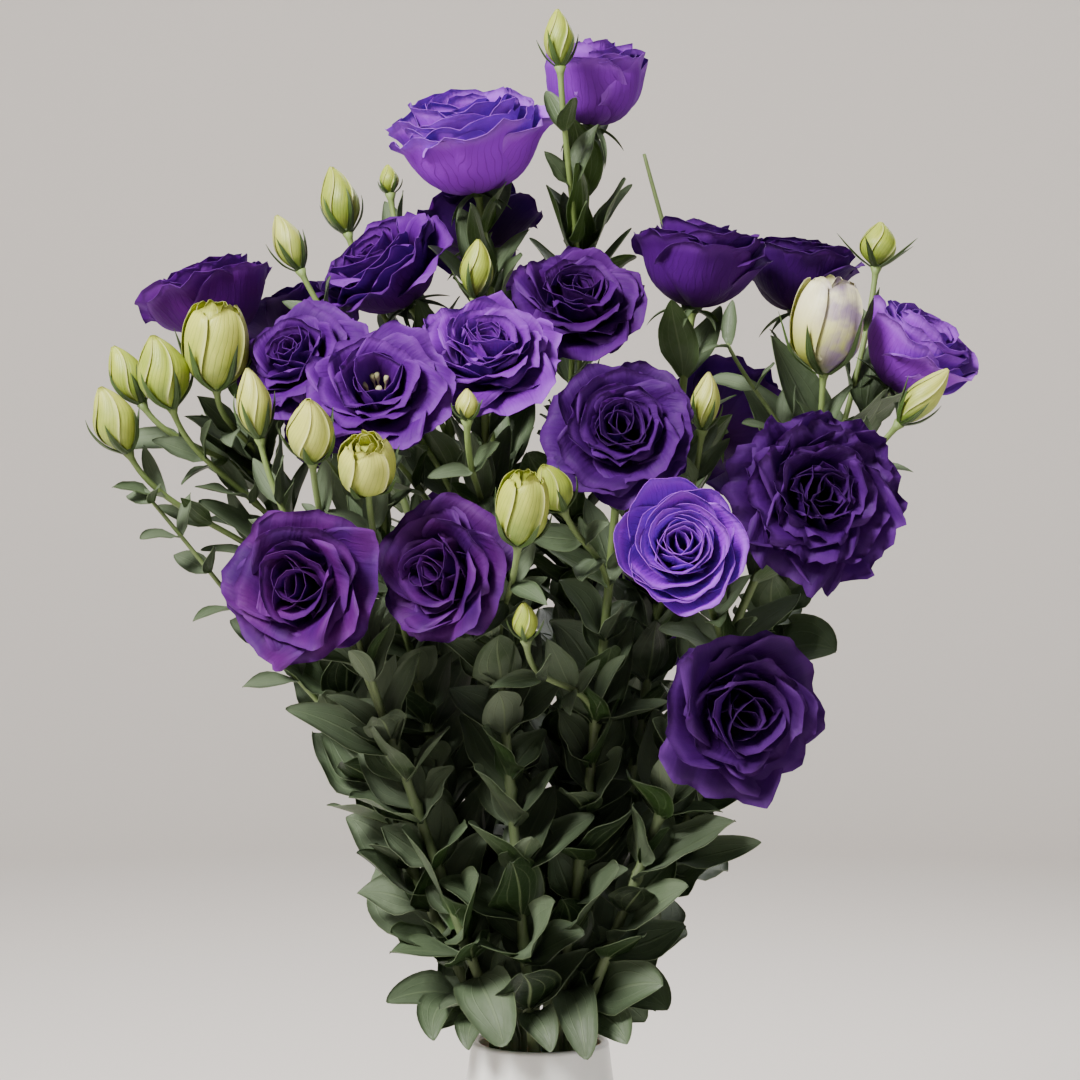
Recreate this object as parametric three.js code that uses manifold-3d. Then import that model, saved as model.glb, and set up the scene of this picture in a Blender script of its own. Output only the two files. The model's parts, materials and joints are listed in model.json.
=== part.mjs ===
// A bunch of violet double lisianthus standing in a plain white vase.
// Millimetres, +Z up, origin at the centre of the vase's flat foot, the front of the bunch towards -Y.
// The vase holds water, the cut stems stand in holes in the water, and every stem carries leaves in
// opposite pairs, open blooms and closed buds. Stem, leaves and sepals are one green solid for each
// stem. Each bloom and each bud is a solid of its own, seated 0.3 mm above its stem's tip.
import * as THREE from "three";
import { mergeVertices } from "three/addons/utils/BufferGeometryUtils.js";
import Module from "manifold-3d";

const wasm = await Module();
wasm.setup();

const vec = (x, y, z) => new THREE.Vector3(x, y, z);
const mix = (a, b, t) => a + (b - a) * t;
const clamp = (x, low, high) => Math.min(high, Math.max(low, x));
const degrees = Math.PI / 180;

// Gap kept between two pieces that touch
const seatGap = 0.3;

// Vase and water: the vase's outline from its foot to its lip
const rimHeight = 215;
const rimRadius = 30.4;
const lipRounding = 1.5;
const vaseOutline = [[43, 0], [47, 6], [54, 32], [58, 68], [56, 105], [48, 140], [38.5, 170], [33, 194]];
const vaseSides = 24;
const outlinePoints = 6;
const wall = 4;
const floorThickness = 8;
const floorRounding = 3;
const waterLevel = 150;
const waterClearance = 0.6;
const holeRadius = 3.3;
const holeSides = 5;

// Stems: the main stalk of each is a leader, which side branches leave
const stemFoot = floorThickness + seatGap;
const footSpread = 1.25;
const fanSlope = 0.026;
const leader = { radii: [2.4, 1.6], sides: 4, pull: [0.45, 0.2], fillers: [0.7, 0.85] };
const branch = { radii: [1.3, 1.3], sides: 5, pull: [0.35, 0.3], fillers: [0.3, 0.65] };
const leafyBranch = { length: 80, node: 0.3, fillers: [0.65] };
const branchLean = 0.6;
const seatRadius = 2.6;
const sepalBand = 5;
const bloomSepal = { size: 15, rise: 2 };
const budSepal = { spread: 3, steepness: 1.1 };

// Blooms: three cups of petals, one inside the other, from a tight heart to a wide open rim. Each cup
// leaves the seat nearly level, turns upwards, and bends out again towards its rim. The bends are
// degrees from the bloom's axis at the seat, half way and at the rim, for a shut and for an open bloom.
const cups = [
  { reach: 1.0, seat: [3.6, 1.5], shut: [72, -4, 4], wide: [78, 44, 76] },
  { reach: 0.8, seat: [3.0, 4.8], shut: [52, -8, -14], wide: [56, 12, 44] },
  { reach: 0.66, seat: [2.4, 8], shut: [22, -6, -6], wide: [26, -4, 2] },
];
const shutStretch = 1.35;
const bloomHeight = { shut: 1.3, wide: 1.05 };
const heartHeight = 11;
const petalThickness = 0.8;
const petalColumns = 12;
const petalNotch = 0.88;
const petalOverlap = [-0.04, 0.08, 0];
const ruffleHeight = 0.14;
const cupTwist = 0.4;

// Buds: height and girth from the seat to the tip, as shares of the bud's own
const budSides = 5;
const budOutline = [[0, 0.2], [0.22, 0.82], [0.5, 1], [0.8, 0.6], [1, 0.1]];
const budTip = 0.7;
const budBase = 2.3;

// Leaves: from the lowest pair to the highest on a leader, and one on each long branch. Width is half
// the leaf's, as a share of its length.
const leafStep = 24;
const leafyShare = 0.56;
const firstNode = 0.45;
const nodeHeight = 2.6;
const leaderLeaf = { length: [50, 35], spread: [0.85, 1.15], lift: [0.65, 1.15], width: 0.3 };
const branchLeaf = { length: [18, 25], lift: 0.8, width: 0.2 };
const leafArch = [0.2, 0.9];
const leafFold = [0.15, 0.4];
const leafThickness = 0.8;
const largeLeaf = 40;
const leafClearance = 2.2;
const rimClearance = 5;
const steepestLeaf = 1.3;

const bloom = (name, at, facing, radius, open, fork) => ({
  name, at: vec(...at), axis: vec(...facing).normalize(), radius, open, fork,
});
const bud = (name, at, facing, length, width, fork) => ({
  name, at: vec(...at), axis: vec(...facing).normalize(), length, width, fork,
});

// Every stem: where it passes the vase's mouth, then its heads. The first head ends the stem itself,
// and the others sit on side branches that leave it at the given share of its length.
const stems = [
  { name: "stem_01", mouth: [-20, -1], heads: [
    bloom("bloom_01", [-146, 12, 541], [-0.35, 0.1, 0.93], 33, 0.65),
    bud("bud_01", [-137, -45, 517], [0.02, -0.3, 0.95], 36, 26, 0.74),
    bud("bud_02", [-159, -50, 506], [-0.2, -0.35, 0.9], 32, 20, 0.62),
    bud("bud_03", [-177, -30, 506], [-0.45, -0.1, 0.9], 27, 14, 0.7),
    bud("bud_04", [-180, -45, 486], [-0.35, -0.3, 0.9], 30, 17, 0.55),
  ] },
  { name: "stem_02", mouth: [-15, -11], heads: [
    bloom("bloom_02", [-95, -106, 417], [-0.25, -0.95, 0.08], 32, 1.0),
    bud("bud_05", [-117, -80, 491], [-0.15, -0.2, 0.96], 29, 13, 0.62),
    bud("bud_06", [-90, -122, 478], [0.0, -0.6, 0.8], 29, 17, 0.5),
  ] },
  { name: "stem_03", mouth: [-12, -1], heads: [
    bloom("bloom_03", [-102, -45, 511], [-0.4, -0.75, 0.5], 29, 1.0),
    bloom("bloom_04", [-65, -92, 496], [-0.05, -0.85, 0.52], 31, 1.0, 0.6),
    bud("bud_07", [-68, -122, 464], [0.0, -0.7, 0.7], 25, 21, 0.45),
  ] },
  { name: "stem_04", mouth: [-11, 9], heads: [
    bloom("bloom_05", [-69, 8, 554], [-0.55, -0.4, 0.73], 34, 0.7),
    bloom("bloom_06", [-108, 42, 534], [-0.35, 0.45, 0.82], 30, 0.8, 0.55),
    bud("bud_08", [-92, 44, 591], [-0.25, 0.0, 0.97], 31, 16, 0.7),
    bud("bud_09", [-110, -10, 565], [-0.4, 0.0, 0.9], 26, 12, 0.62),
  ] },
  { name: "stem_05", mouth: [-2, 7], heads: [
    bloom("bloom_07", [-31, 0, 610], [-0.15, -0.35, 0.92], 40, 0.6),
    bloom("bloom_08", [-29, 52, 580], [-0.1, 0.5, 0.85], 31, 0.95, 0.62),
    bud("bud_10", [-69, 40, 600], [-0.1, 0.0, 1.0], 13, 8, 0.55),
    bud("bud_11", [-27, -34, 551], [0.05, -0.25, 0.96], 25, 13, 0.5),
  ] },
  { name: "stem_06", mouth: [3, 0], heads: [
    bloom("bloom_09", [25, 8, 638], [0.1, -0.25, 0.96], 33, 0.4),
    bud("bud_12", [8, -32, 650], [-0.05, -0.05, 1.0], 24, 12, 0.72),
    bloom("bloom_10", [17, -28, 538], [0.1, -0.75, 0.65], 31, 1.0, 0.4),
  ] },
  { name: "stem_07", mouth: [-3, -17], heads: [
    bloom("bloom_11", [-22, -64, 513], [0.05, -0.7, 0.7], 33, 1.0),
    bloom("bloom_12", [-39, -104, 422], [-0.5, -0.8, 0.1], 30, 1.0, 0.45),
    bud("bud_13", [-7, -134, 447], [0.1, -0.4, 0.9], 29, 19, 0.5),
    bud("bud_14", [-29, -110, 489], [0.0, -0.2, 1.0], 12, 8, 0.66),
  ] },
  { name: "stem_08", mouth: [6, -9], heads: [
    bloom("bloom_13", [33, -92, 479], [0.0, -0.95, 0.3], 33, 1.0),
    bud("bud_15", [5, -110, 456], [-0.35, -0.5, 0.75], 22, 14, 0.62),
    bud("bud_16", [-6, -110, 403], [-0.05, -0.4, 0.9], 16, 9, 0.42),
  ] },
  { name: "stem_09", mouth: [12, 5], heads: [
    bloom("bloom_14", [71, 8, 557], [0.15, -0.1, 0.98], 35, 0.6),
    bud("bud_17", [69, -60, 493], [0.1, -0.2, 0.97], 24, 11, 0.45),
  ] },
  { name: "stem_10", mouth: [20, 1], heads: [
    bloom("bloom_15", [164, -8, 516], [0.55, -0.35, 0.75], 32, 0.5),
    bud("bud_18", [123, -30, 527], [0.05, -0.15, 0.98], 40, 29, 0.66),
    bud("bud_19", [151, 14, 567], [0.1, 0.0, 1.0], 20, 15, 0.7),
    bud("bud_20", [160, -60, 495], [0.6, -0.3, 0.7], 30, 12, 0.58),
    bloom("bloom_16", [120, 50, 556], [0.15, 0.1, 0.98], 31, 0.65, 0.6),
  ] },
  { name: "stem_11", mouth: [14, -12], heads: [
    bloom("bloom_17", [114, -78, 453], [0.2, -0.95, 0.1], 38, 1.0),
    bloom("bloom_18", [55, -128, 432], [-0.05, -0.95, 0.25], 31, 1.0, 0.55),
    bloom("bloom_19", [80, -105, 366], [0.25, -0.93, -0.1], 33, 0.9, 0.32),
  ] },
  { name: "stem_12", mouth: [-8, 17], heads: [
    bloom("bloom_20", [-95, 95, 500], [-0.5, 0.8, 0.35], 34, 1.0),
    bloom("bloom_21", [-35, 120, 430], [-0.15, 0.95, 0.15], 34, 1.0, 0.5),
    bud("bud_21", [-70, 120, 480], [-0.2, 0.4, 0.88], 30, 17, 0.6),
  ] },
  { name: "stem_13", mouth: [9, 17], heads: [
    bloom("bloom_22", [90, 95, 490], [0.5, 0.8, 0.3], 35, 1.0),
    bloom("bloom_23", [10, 90, 545], [0.0, 0.6, 0.8], 34, 0.75, 0.6),
    bloom("bloom_24", [45, 118, 400], [0.2, 0.95, 0.05], 33, 1.0, 0.42),
  ] },
];

// A number from 0 to 1 that depends only on its key.
function draw(key) {
  const s = Math.sin(key * 12.9898 + 4.1414) * 43758.5453;
  return s - Math.floor(s);
}

// Two unit vectors at right angles to an axis and to each other.
function sidesOf(axis) {
  const up = Math.abs(axis.z) > 0.9 ? vec(0, 1, 0) : vec(0, 0, 1);
  const first = up.clone().cross(axis).normalize();
  return [first, axis.clone().cross(first)];
}

const isBloom = (head) => head.radius !== undefined;
const heightOf = (head) => (isBloom(head)
  ? head.radius * mix(bloomHeight.shut, bloomHeight.wide, head.open)
  : head.length);
const baseOf = (head) => head.at.clone().addScaledVector(head.axis, -heightOf(head) / 2);

// A surface under construction: a list of points and the triangles between them.
class Skin {
  points = [];

  triangles = [];

  add(points) {
    const first = this.points.length;
    this.points.push(...points);
    return points.map((_, k) => first + k);
  }

  // The triangles between two rows that both run to the right, the first one below, seen from outside.
  zip(low, high) {
    let i = 0;
    let j = 0;
    while (i < low.length - 1 || j < high.length - 1) {
      const alongLow = j >= high.length - 1
        || (i < low.length - 1 && (i + 1) * (high.length - 1) <= (j + 1) * (low.length - 1));
      const corner = alongLow ? [low[i], low[i + 1], high[j]] : [low[i], high[j + 1], high[j]];
      if (new Set(corner).size === 3) this.triangles.push(corner);
      if (alongLow) i += 1;
      else j += 1;
    }
  }

  // The band between two closed rings of as many points each.
  band(low, high, skipped = []) {
    low.forEach((a, k) => {
      const next = (k + 1) % low.length;
      if (!skipped.includes(k)) this.zip([a, low[next]], [high[k], high[next]]);
    });
  }

  // A flat end over a closed ring, facing along the way the rings run or against it.
  cap(ring, onward) {
    for (let k = 1; k + 1 < ring.length; k += 1) {
      this.triangles.push(onward ? [ring[0], ring[k], ring[k + 1]] : [ring[0], ring[k + 1], ring[k]]);
    }
  }

  // The walls of a blade between two of its sections, each with an upper and a lower row.
  sleeve(near, far) {
    const ends = ({ upper, lower }) => [upper[0], lower[0], upper.at(-1), lower.at(-1)];
    const [nearUpLeft, nearLowLeft, nearUpRight, nearLowRight] = ends(near);
    const [farUpLeft, farLowLeft, farUpRight, farLowRight] = ends(far);
    this.zip([...near.upper].reverse(), [...far.upper].reverse());
    this.zip(near.lower, far.lower);
    this.zip([nearLowRight, nearUpRight], [farLowRight, farUpRight]);
    this.zip([nearUpLeft, nearLowLeft], [farUpLeft, farLowLeft]);
  }

  solid() {
    return new wasm.Manifold(new wasm.Mesh({
      numProp: 3,
      vertProperties: new Float32Array(this.points.flatMap((p) => p.toArray())),
      triVerts: new Uint32Array(this.triangles.flat()),
    }));
  }
}

function named(name, solid, material) {
  const made = solid.getMesh();
  const geometry = new THREE.BufferGeometry();
  geometry.setAttribute("position", new THREE.BufferAttribute(new Float32Array(made.vertProperties), 3));
  geometry.setIndex(new THREE.BufferAttribute(new Uint32Array(made.triVerts), 1));
  geometry.computeVertexNormals();
  const mesh = new THREE.Mesh(geometry, material);
  mesh.name = name;
  return mesh;
}

function lathe(outline, sides) {
  const points = outline.map(([r, z]) => new THREE.Vector2(r, z));
  const turned = new THREE.LatheGeometry(points, sides).rotateX(Math.PI / 2);
  turned.deleteAttribute("normal");
  turned.deleteAttribute("uv");
  const merged = mergeVertices(turned, 1e-4);
  return new wasm.Manifold(new wasm.Mesh({
    numProp: 3,
    vertProperties: merged.attributes.position.array,
    triVerts: new Uint32Array(merged.index.array),
  }));
}

// A frame at each of a row of points, carried along without turning about the way they run.
function framesAlong(points) {
  let across = null;
  return points.map((p, k) => {
    const next = points[Math.min(k + 1, points.length - 1)];
    const along = next.clone().sub(points[Math.max(k - 1, 0)]).normalize();
    across = across === null
      ? sidesOf(along)[0]
      : across.clone().addScaledVector(along, -across.dot(along)).normalize();
    return { p, along, across, other: along.clone().cross(across) };
  });
}

const around = (frame, angle) => frame.across.clone().multiplyScalar(Math.cos(angle))
  .addScaledVector(frame.other, Math.sin(angle));

// A rod through frames, with a radius at each. Blades grow out of single faces of it: each growth gives
// its band, its side and the sections of the blade.
function rod(frames, radii, sides, growths = []) {
  const skin = new Skin();
  const rings = frames.map((frame, k) => {
    const turns = Array.from({ length: sides }, (_, s) => (2 * Math.PI * s) / sides);
    const corner = (turn) => frame.p.clone().addScaledVector(around(frame, turn), radii[k]);
    return skin.add(turns.map(corner));
  });
  rings.slice(1).forEach((ring, k) => {
    const here = growths.filter((growth) => growth.band === k);
    skin.band(rings[k], ring, here.map((growth) => growth.side));
    for (const growth of here) {
      const next = (growth.side + 1) % sides;
      let near = { lower: [rings[k][growth.side], rings[k][next]], upper: [ring[growth.side], ring[next]] };
      for (const section of growth.sections) {
        const lower = skin.add(section.lower);
        const far = { lower, upper: section.upper === section.lower ? lower : skin.add(section.upper) };
        skin.sleeve(near, far);
        near = far;
      }
    }
  });
  skin.cap(rings[0], false);
  skin.cap(rings.at(-1), true);
  return skin.solid();
}

// Vase: the outline is a smooth curve from foot to lip, and the inside follows it a wall's thickness in.
const vaseCurve = new THREE.SplineCurve([...vaseOutline, [rimRadius, rimHeight - lipRounding]]
  .map(([r, z]) => new THREE.Vector2(r, z)));
const outside = vaseCurve.getPoints(outlinePoints).map((p) => [p.x, p.y]);

function innerRadius(z) {
  const above = outside.findIndex((p) => p[1] >= z);
  const [r0, z0] = outside[Math.max(above - 1, 0)];
  const [r1, z1] = outside[Math.max(above, 1)];
  return mix(r0, r1, (z - z0) / (z1 - z0)) - wall;
}

function makeVase() {
  const lip = [[rimRadius - 1, rimHeight], [rimRadius - wall + 1, rimHeight]];
  const aboveFloor = floorThickness + floorRounding;
  const inside = outside.filter((p) => p[1] > aboveFloor).map(([r, z]) => [r - wall, z]).reverse();
  const floor = [[innerRadius(aboveFloor) - floorRounding, floorThickness], [0, floorThickness]];
  return lathe([[0, 0], ...outside, ...lip, ...inside, ...floor], vaseSides);
}

// Every stem's path: straight up inside the vase, then a curve that fans out and ends at its head.
const mouthPoint = (stem) => vec(stem.mouth[0], stem.mouth[1], rimHeight);
const footPoint = (stem) => vec(stem.mouth[0] * footSpread, stem.mouth[1] * footSpread, stemFoot);

function curveTo(start, heading, head, [startPull, endPull]) {
  const end = baseOf(head).addScaledVector(head.axis, -seatGap);
  const reach = start.distanceTo(end);
  return new THREE.CubicBezierCurve3(
    start,
    start.clone().addScaledVector(heading, reach * startPull),
    end.clone().addScaledVector(head.axis, -reach * endPull),
    end,
  );
}

function leaderOf(stem) {
  const start = mouthPoint(stem);
  const heading = vec(stem.mouth[0] * fanSlope, stem.mouth[1] * fanSlope, 1).normalize();
  return curveTo(start, heading, stem.heads[0], leader.pull);
}

function branchOf(stemCurve, head) {
  const start = stemCurve.getPoint(head.fork);
  const along = stemCurve.getTangent(head.fork);
  const towards = baseOf(head).sub(start).normalize();
  const heading = along.clone().multiplyScalar(branchLean).add(towards).normalize();
  return curveTo(start, heading, head, branch.pull);
}

// A stalk along a curve: its frames, its radii, and the bands that leaves grow from.
function stalkAlong(curve, head, kind, nodes, fillers, lead) {
  const length = curve.getLength();
  const half = nodeHeight / 2 / length;
  const swell = 1 - sepalBand / length;
  const shares = [...nodes.flatMap((t) => [t - half, t + half]), ...fillers, 0, swell, 1];
  shares.sort((a, b) => a - b);
  const points = [...lead, ...shares.map((t) => curve.getPoint(t))];
  const radii = [
    ...lead.map(() => kind.radii[0]),
    ...shares.map((t) => (t === 1 ? seatRadius : mix(...kind.radii, t))),
  ];
  return {
    head, radii,
    sides: kind.sides,
    frames: framesAlong(points),
    bands: nodes.map((t) => lead.length + shares.indexOf(t - half)),
    growths: [],
  };
}

const faceDirection = (stalk, band, side, swing = 0) =>
  around(stalk.frames[band], (2 * Math.PI * (side + 0.5)) / stalk.sides + swing);

// Sepals: narrow points round the seat of each head, spread under a bloom and upright round a bud.
function sepalReach(head) {
  if (isBloom(head)) return bloomSepal;
  const size = head.width / 2 + budSepal.spread;
  const [share, girth] = budOutline[1];
  const clear = ((size - seatRadius) * share * head.length) / ((girth * head.width) / 2);
  return { size, rise: Math.min(size * budSepal.steepness, clear * 0.85) };
}

function growSepals(stalk) {
  const { head } = stalk;
  const { size, rise } = sepalReach(head);
  const last = stalk.frames.length - 1;
  for (let side = 0; side < stalk.sides; side += 1) {
    const outward = faceDirection(stalk, last, side);
    const tip = [baseOf(head).addScaledVector(outward, size).addScaledVector(head.axis, rise)];
    stalk.growths.push({ band: last - 1, side, sections: [{ upper: tip, lower: tip }] });
  }
}

// Leaves: a leaf leaves its stem at a point, at an angle round it, and arches over.
const leafHalfWidth = (leaf, v) => leaf.width * Math.sin(Math.PI * clamp(v, 0.02, 1) ** 0.75) ** 0.85;

// The point a share v along a leaf, and a share u from its midrib to its right edge.
function leafPoint(leaf, u, v) {
  const steps = 6;
  const p = leaf.root.clone();
  for (let k = 0; k < steps; k += 1) {
    const lift = leaf.lift - leaf.arch * v * ((k + 0.5) / steps);
    const step = (leaf.length * v) / steps;
    p.addScaledVector(leaf.outward, Math.cos(lift) * step);
    p.addScaledVector(leaf.along, Math.sin(lift) * step);
  }
  const lift = leaf.lift - leaf.arch * v;
  const across = leaf.along.clone().cross(leaf.outward).normalize();
  const upper = leaf.along.clone().multiplyScalar(Math.cos(lift));
  upper.addScaledVector(leaf.outward, -Math.sin(lift));
  const half = leafHalfWidth(leaf, v);
  return p.addScaledVector(across, u * half).addScaledVector(upper, Math.abs(u) * half * leaf.fold);
}

function leafSection(leaf, spots, v) {
  const near = Math.min(v, 0.95);
  const step = 0.02;
  const upper = [];
  const lower = [];
  for (const u of spots) {
    const p = leafPoint(leaf, u, v);
    const outwards = leafPoint(leaf, u, near + step).sub(leafPoint(leaf, u, near - step));
    const sideways = leafPoint(leaf, u + step, near).sub(leafPoint(leaf, u - step, near));
    const normal = outwards.cross(sideways).normalize();
    upper.push(p.clone().addScaledVector(normal, leafThickness / 2));
    lower.push(p.clone().addScaledVector(normal, -leafThickness / 2));
  }
  return { upper, lower };
}

function leafSections(leaf) {
  const shares = leaf.length > largeLeaf ? [0.32, 0.7] : [0.42];
  return [...shares.map((v) => leafSection(leaf, [-1, 0, 1], v)), leafSection(leaf, [0], 1)];
}

// The places that a new leaf has to stay clear of, as balls with an owner's name.
const balls = [];
const addBall = (owner, centre, radius) => balls.push({ owner, centre, radius });

function claimHead(head) {
  const [across, other] = sidesOf(head.axis);
  const base = baseOf(head);
  const height = heightOf(head);
  const at = (up, out, turn) => base.clone()
    .addScaledVector(head.axis, up * height)
    .addScaledVector(around({ across, other }, turn), out);
  if (!isBloom(head)) {
    [0.2, 0.45, 0.7].forEach((up) => addBall(head.name, at(up, 0, 0), head.width / 2));
    return;
  }
  const spread = head.radius * head.open;
  addBall(head.name, at(0.25, 0, 0), spread * 0.4);
  addBall(head.name, at(0.7, 0, 0), spread * 0.6);
  for (let k = 0; k < 8; k += 1) {
    addBall(head.name, at(0.68, spread * 0.62, (k * Math.PI) / 4), spread * 0.4);
  }
}

// Where a leaf is tested: across, along, and how far round that spot, as a share of its half width.
const leafProbes = [
  ...[0.16, 0.3, 0.43, 0.57, 0.7, 0.85].map((v) => [0, v, 0.3]),
  [0, 1, 0.1],
  ...[0.28, 0.42, 0.57, 0.75].flatMap((v) => [[-0.8, v, 0.14], [0.8, v, 0.14]]),
];

function isClear(leaf) {
  return leafProbes.every(([u, v, girth]) => {
    const p = leafPoint(leaf, u, v);
    const overVase = Math.hypot(p.x, p.y) < rimRadius + rimClearance + (rimHeight - p.z) * 0.2;
    if (p.z < rimHeight + rimClearance && overVase) return false;
    return balls.every((ball) => ball.owner === leaf.owner
      || ball.centre.distanceTo(p) > ball.radius + leaf.width * girth + leafClearance);
  });
}

// What a leaf tries in turn until it fits: its full size and then smaller ones, each at several slants
// and at several turns about its stem.
const leafTries = [1, 0.74, 0.55].flatMap((size) => [0, 0.3, -0.35, 0.55].flatMap((more) =>
  [0, 0.35, -0.35, 0.7, -0.7, 1, -1].map((swing) => ({ size, more, swing }))));

function growLeaf(owner, stalk, band, side, { length, lift, width }, key) {
  const frame = stalk.frames[band];
  const shape = {
    owner,
    root: frame.p.clone().add(stalk.frames[band + 1].p).multiplyScalar(0.5),
    along: frame.along,
    arch: mix(...leafArch, draw(key)),
    fold: mix(...leafFold, draw(key + 0.5)),
  };
  for (const { size, more, swing } of leafTries) {
    const leaf = {
      ...shape,
      length: length * size,
      width: length * size * width,
      lift: Math.min(lift + more, steepestLeaf),
      outward: faceDirection(stalk, band, side, swing),
    };
    if (isClear(leaf)) {
      for (const [u, v, girth] of leafProbes) {
        addBall(owner + "_leaf", leafPoint(leaf, u, v), leaf.width * girth);
      }
      stalk.growths.push({ band, side, sections: leafSections(leaf), leaf });
      return;
    }
  }
}

// One stem: its leader, with the places for leaves on it, and its side branches.
function stalksOf(stem) {
  const curve = leaderOf(stem);
  const pairs = Math.floor((curve.getLength() * leafyShare) / leafStep);
  const nodes = Array.from({ length: pairs }, (_, k) => ((k + firstNode) * leafyShare) / pairs);
  const main = stalkAlong(curve, stem.heads[0], leader, nodes, leader.fillers, [footPoint(stem)]);
  const branches = stem.heads.slice(1).map((head) => {
    const side = branchOf(curve, head);
    return side.getLength() > leafyBranch.length
      ? stalkAlong(side, head, branch, [leafyBranch.node], leafyBranch.fillers, [])
      : stalkAlong(side, head, branch, [], branch.fillers, []);
  });
  return { stem, main, branches };
}

function claimStalk(owner, stalk) {
  const spacing = 7;
  stalk.frames.slice(1).forEach((frame, k) => {
    const from = stalk.frames[k].p;
    const count = Math.ceil(from.distanceTo(frame.p) / spacing);
    for (let step = 1; step <= count; step += 1) {
      addBall(owner, from.clone().lerp(frame.p, step / count), leader.radii[0]);
    }
  });
}

// All stalks of the bunch, then their leaves: pairs that turn a quarter round the stem from one to the
// next, and a small leaf on each long side branch.
function growBunch() {
  const grown = stems.map(stalksOf);
  for (const { stem, main, branches } of grown) {
    for (const stalk of [main, ...branches]) {
      growSepals(stalk);
      claimStalk(stem.name, stalk);
    }
    stem.heads.forEach(claimHead);
  }
  grown.forEach(({ stem, main }, i) => {
    main.bands.forEach((band, k) => {
      for (const side of [k % 2, (k % 2) + 2]) {
        const key = i * 97 + k * 7 + side * 3;
        const spread = mix(...leaderLeaf.spread, draw(key + 0.2));
        growLeaf(stem.name, main, band, side, {
          length: mix(...leaderLeaf.length, k / main.bands.length) * spread,
          lift: mix(...leaderLeaf.lift, draw(key + 0.7)),
          width: leaderLeaf.width,
        }, key);
      }
    });
  });
  grown.forEach(({ stem, branches }, i) => {
    branches.filter((stalk) => stalk.bands.length > 0).forEach((stalk, b) => {
      const key = i * 53 + b * 11 + 1000;
      const length = mix(...branchLeaf.length, draw(key));
      growLeaf(stem.name, stalk, stalk.bands[0], b % branch.sides, { ...branchLeaf, length }, key);
    });
  });
  return grown;
}

const makeStalk = (stalk) => rod(stalk.frames, stalk.radii, stalk.sides, stalk.growths);
const makeStem = ({ main, branches }) => wasm.Manifold.union([main, ...branches].map(makeStalk));

// Blooms
function cupPoint(head, cup, v) {
  const bends = cup.wide.map((angle, k) => mix(cup.shut[k], angle, head.open) * degrees);
  const length = head.radius * cup.reach * mix(shutStretch, 1, head.open) * v;
  const steps = 10;
  let [out, up] = cup.seat;
  let bend = 0;
  for (let k = 0; k < steps; k += 1) {
    const t = (v * (k + 0.5)) / steps;
    bend = t < 0.5 ? mix(bends[0], bends[1], t * 2) : mix(bends[1], bends[2], t * 2 - 1);
    out += (Math.sin(bend) * length) / steps;
    up += (Math.cos(bend) * length) / steps;
  }
  return { out, up, bend };
}

function makeBloom(head, key) {
  const [across, other] = sidesOf(head.axis);
  const base = baseOf(head);
  const skin = new Skin();
  const place = (out, up, turn) => base.clone()
    .addScaledVector(head.axis, up)
    .addScaledVector(around({ across, other }, turn), out);
  const spin = draw(key);
  const turnOf = (j) => (2 * Math.PI * j) / petalColumns + spin;
  const columns = Array.from({ length: petalColumns }, (_, j) => j);
  const row = (cup, v, side) => skin.add(columns.map((j) => {
    const spot = (j + cup) % petalOverlap.length;
    const atRim = v === 1;
    const { out, up, bend } = cupPoint(head, cups[cup], spot === 0 && atRim ? petalNotch : v);
    const ruffle = atRim ? (draw(key * 5 + cup * 29 + j) - 0.5) * ruffleHeight * head.radius : 0;
    const offset = (side * petalThickness) / 2;
    return place(
      out * (1 + petalOverlap[spot] * v) + Math.cos(bend) * offset,
      up - Math.sin(bend) * offset + ruffle,
      turnOf(j + cup * cupTwist),
    );
  }));
  const seat = skin.add(columns.map((j) => place(seatRadius, 0, turnOf(j))));
  const [heart] = skin.add([place(0, heartHeight, 0)]);
  const rows = [
    seat,
    row(0, 0.5, 1), row(0, 1, 1), row(0, 1, -1), row(0, 0.5, -1),
    row(1, 0.05, 1), row(1, 0.5, 1), row(1, 1, 1), row(1, 1, -1),
    row(2, 0.05, 1), row(2, 1, 1), row(2, 1, -1), columns.map(() => heart),
  ];
  rows.slice(1).forEach((high, k) => skin.band(rows[k], high));
  skin.cap(seat, false);
  return skin.solid();
}

// Buds: a closed spindle, fullest at its middle.
function makeBud(head) {
  const base = baseOf(head);
  const points = budOutline.map(([up]) => base.clone().addScaledVector(head.axis, up * head.length));
  const radii = budOutline.map(([, share]) => Math.max(share * head.width * 0.5, budTip));
  radii[0] = budBase;
  return rod(framesAlong(points), radii, budSides);
}

// Water: fills the vase to its level, with a plain hole round each stem.
function makeWater() {
  const low = floorThickness + floorRounding;
  const levels = outside.map((p) => p[1]).filter((z) => z > low && z < waterLevel);
  const side = [...levels, waterLevel].map((z) => [innerRadius(z) - waterClearance, z]);
  const bottom = floorThickness + seatGap;
  const bottomEdge = innerRadius(low) - floorRounding - waterClearance;
  const body = lathe([[0, bottom], [bottomEdge, bottom], ...side, [0, waterLevel]], vaseSides);
  const holes = stems.map((stem) => {
    const foot = footPoint(stem);
    const up = mouthPoint(stem).sub(foot).normalize();
    const ends = [-floorThickness, waterLevel].map((far) => foot.clone().addScaledVector(up, far));
    return rod(framesAlong(ends), [holeRadius, holeRadius], holeSides);
  });
  return body.subtract(wasm.Manifold.union(holes));
}

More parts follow.
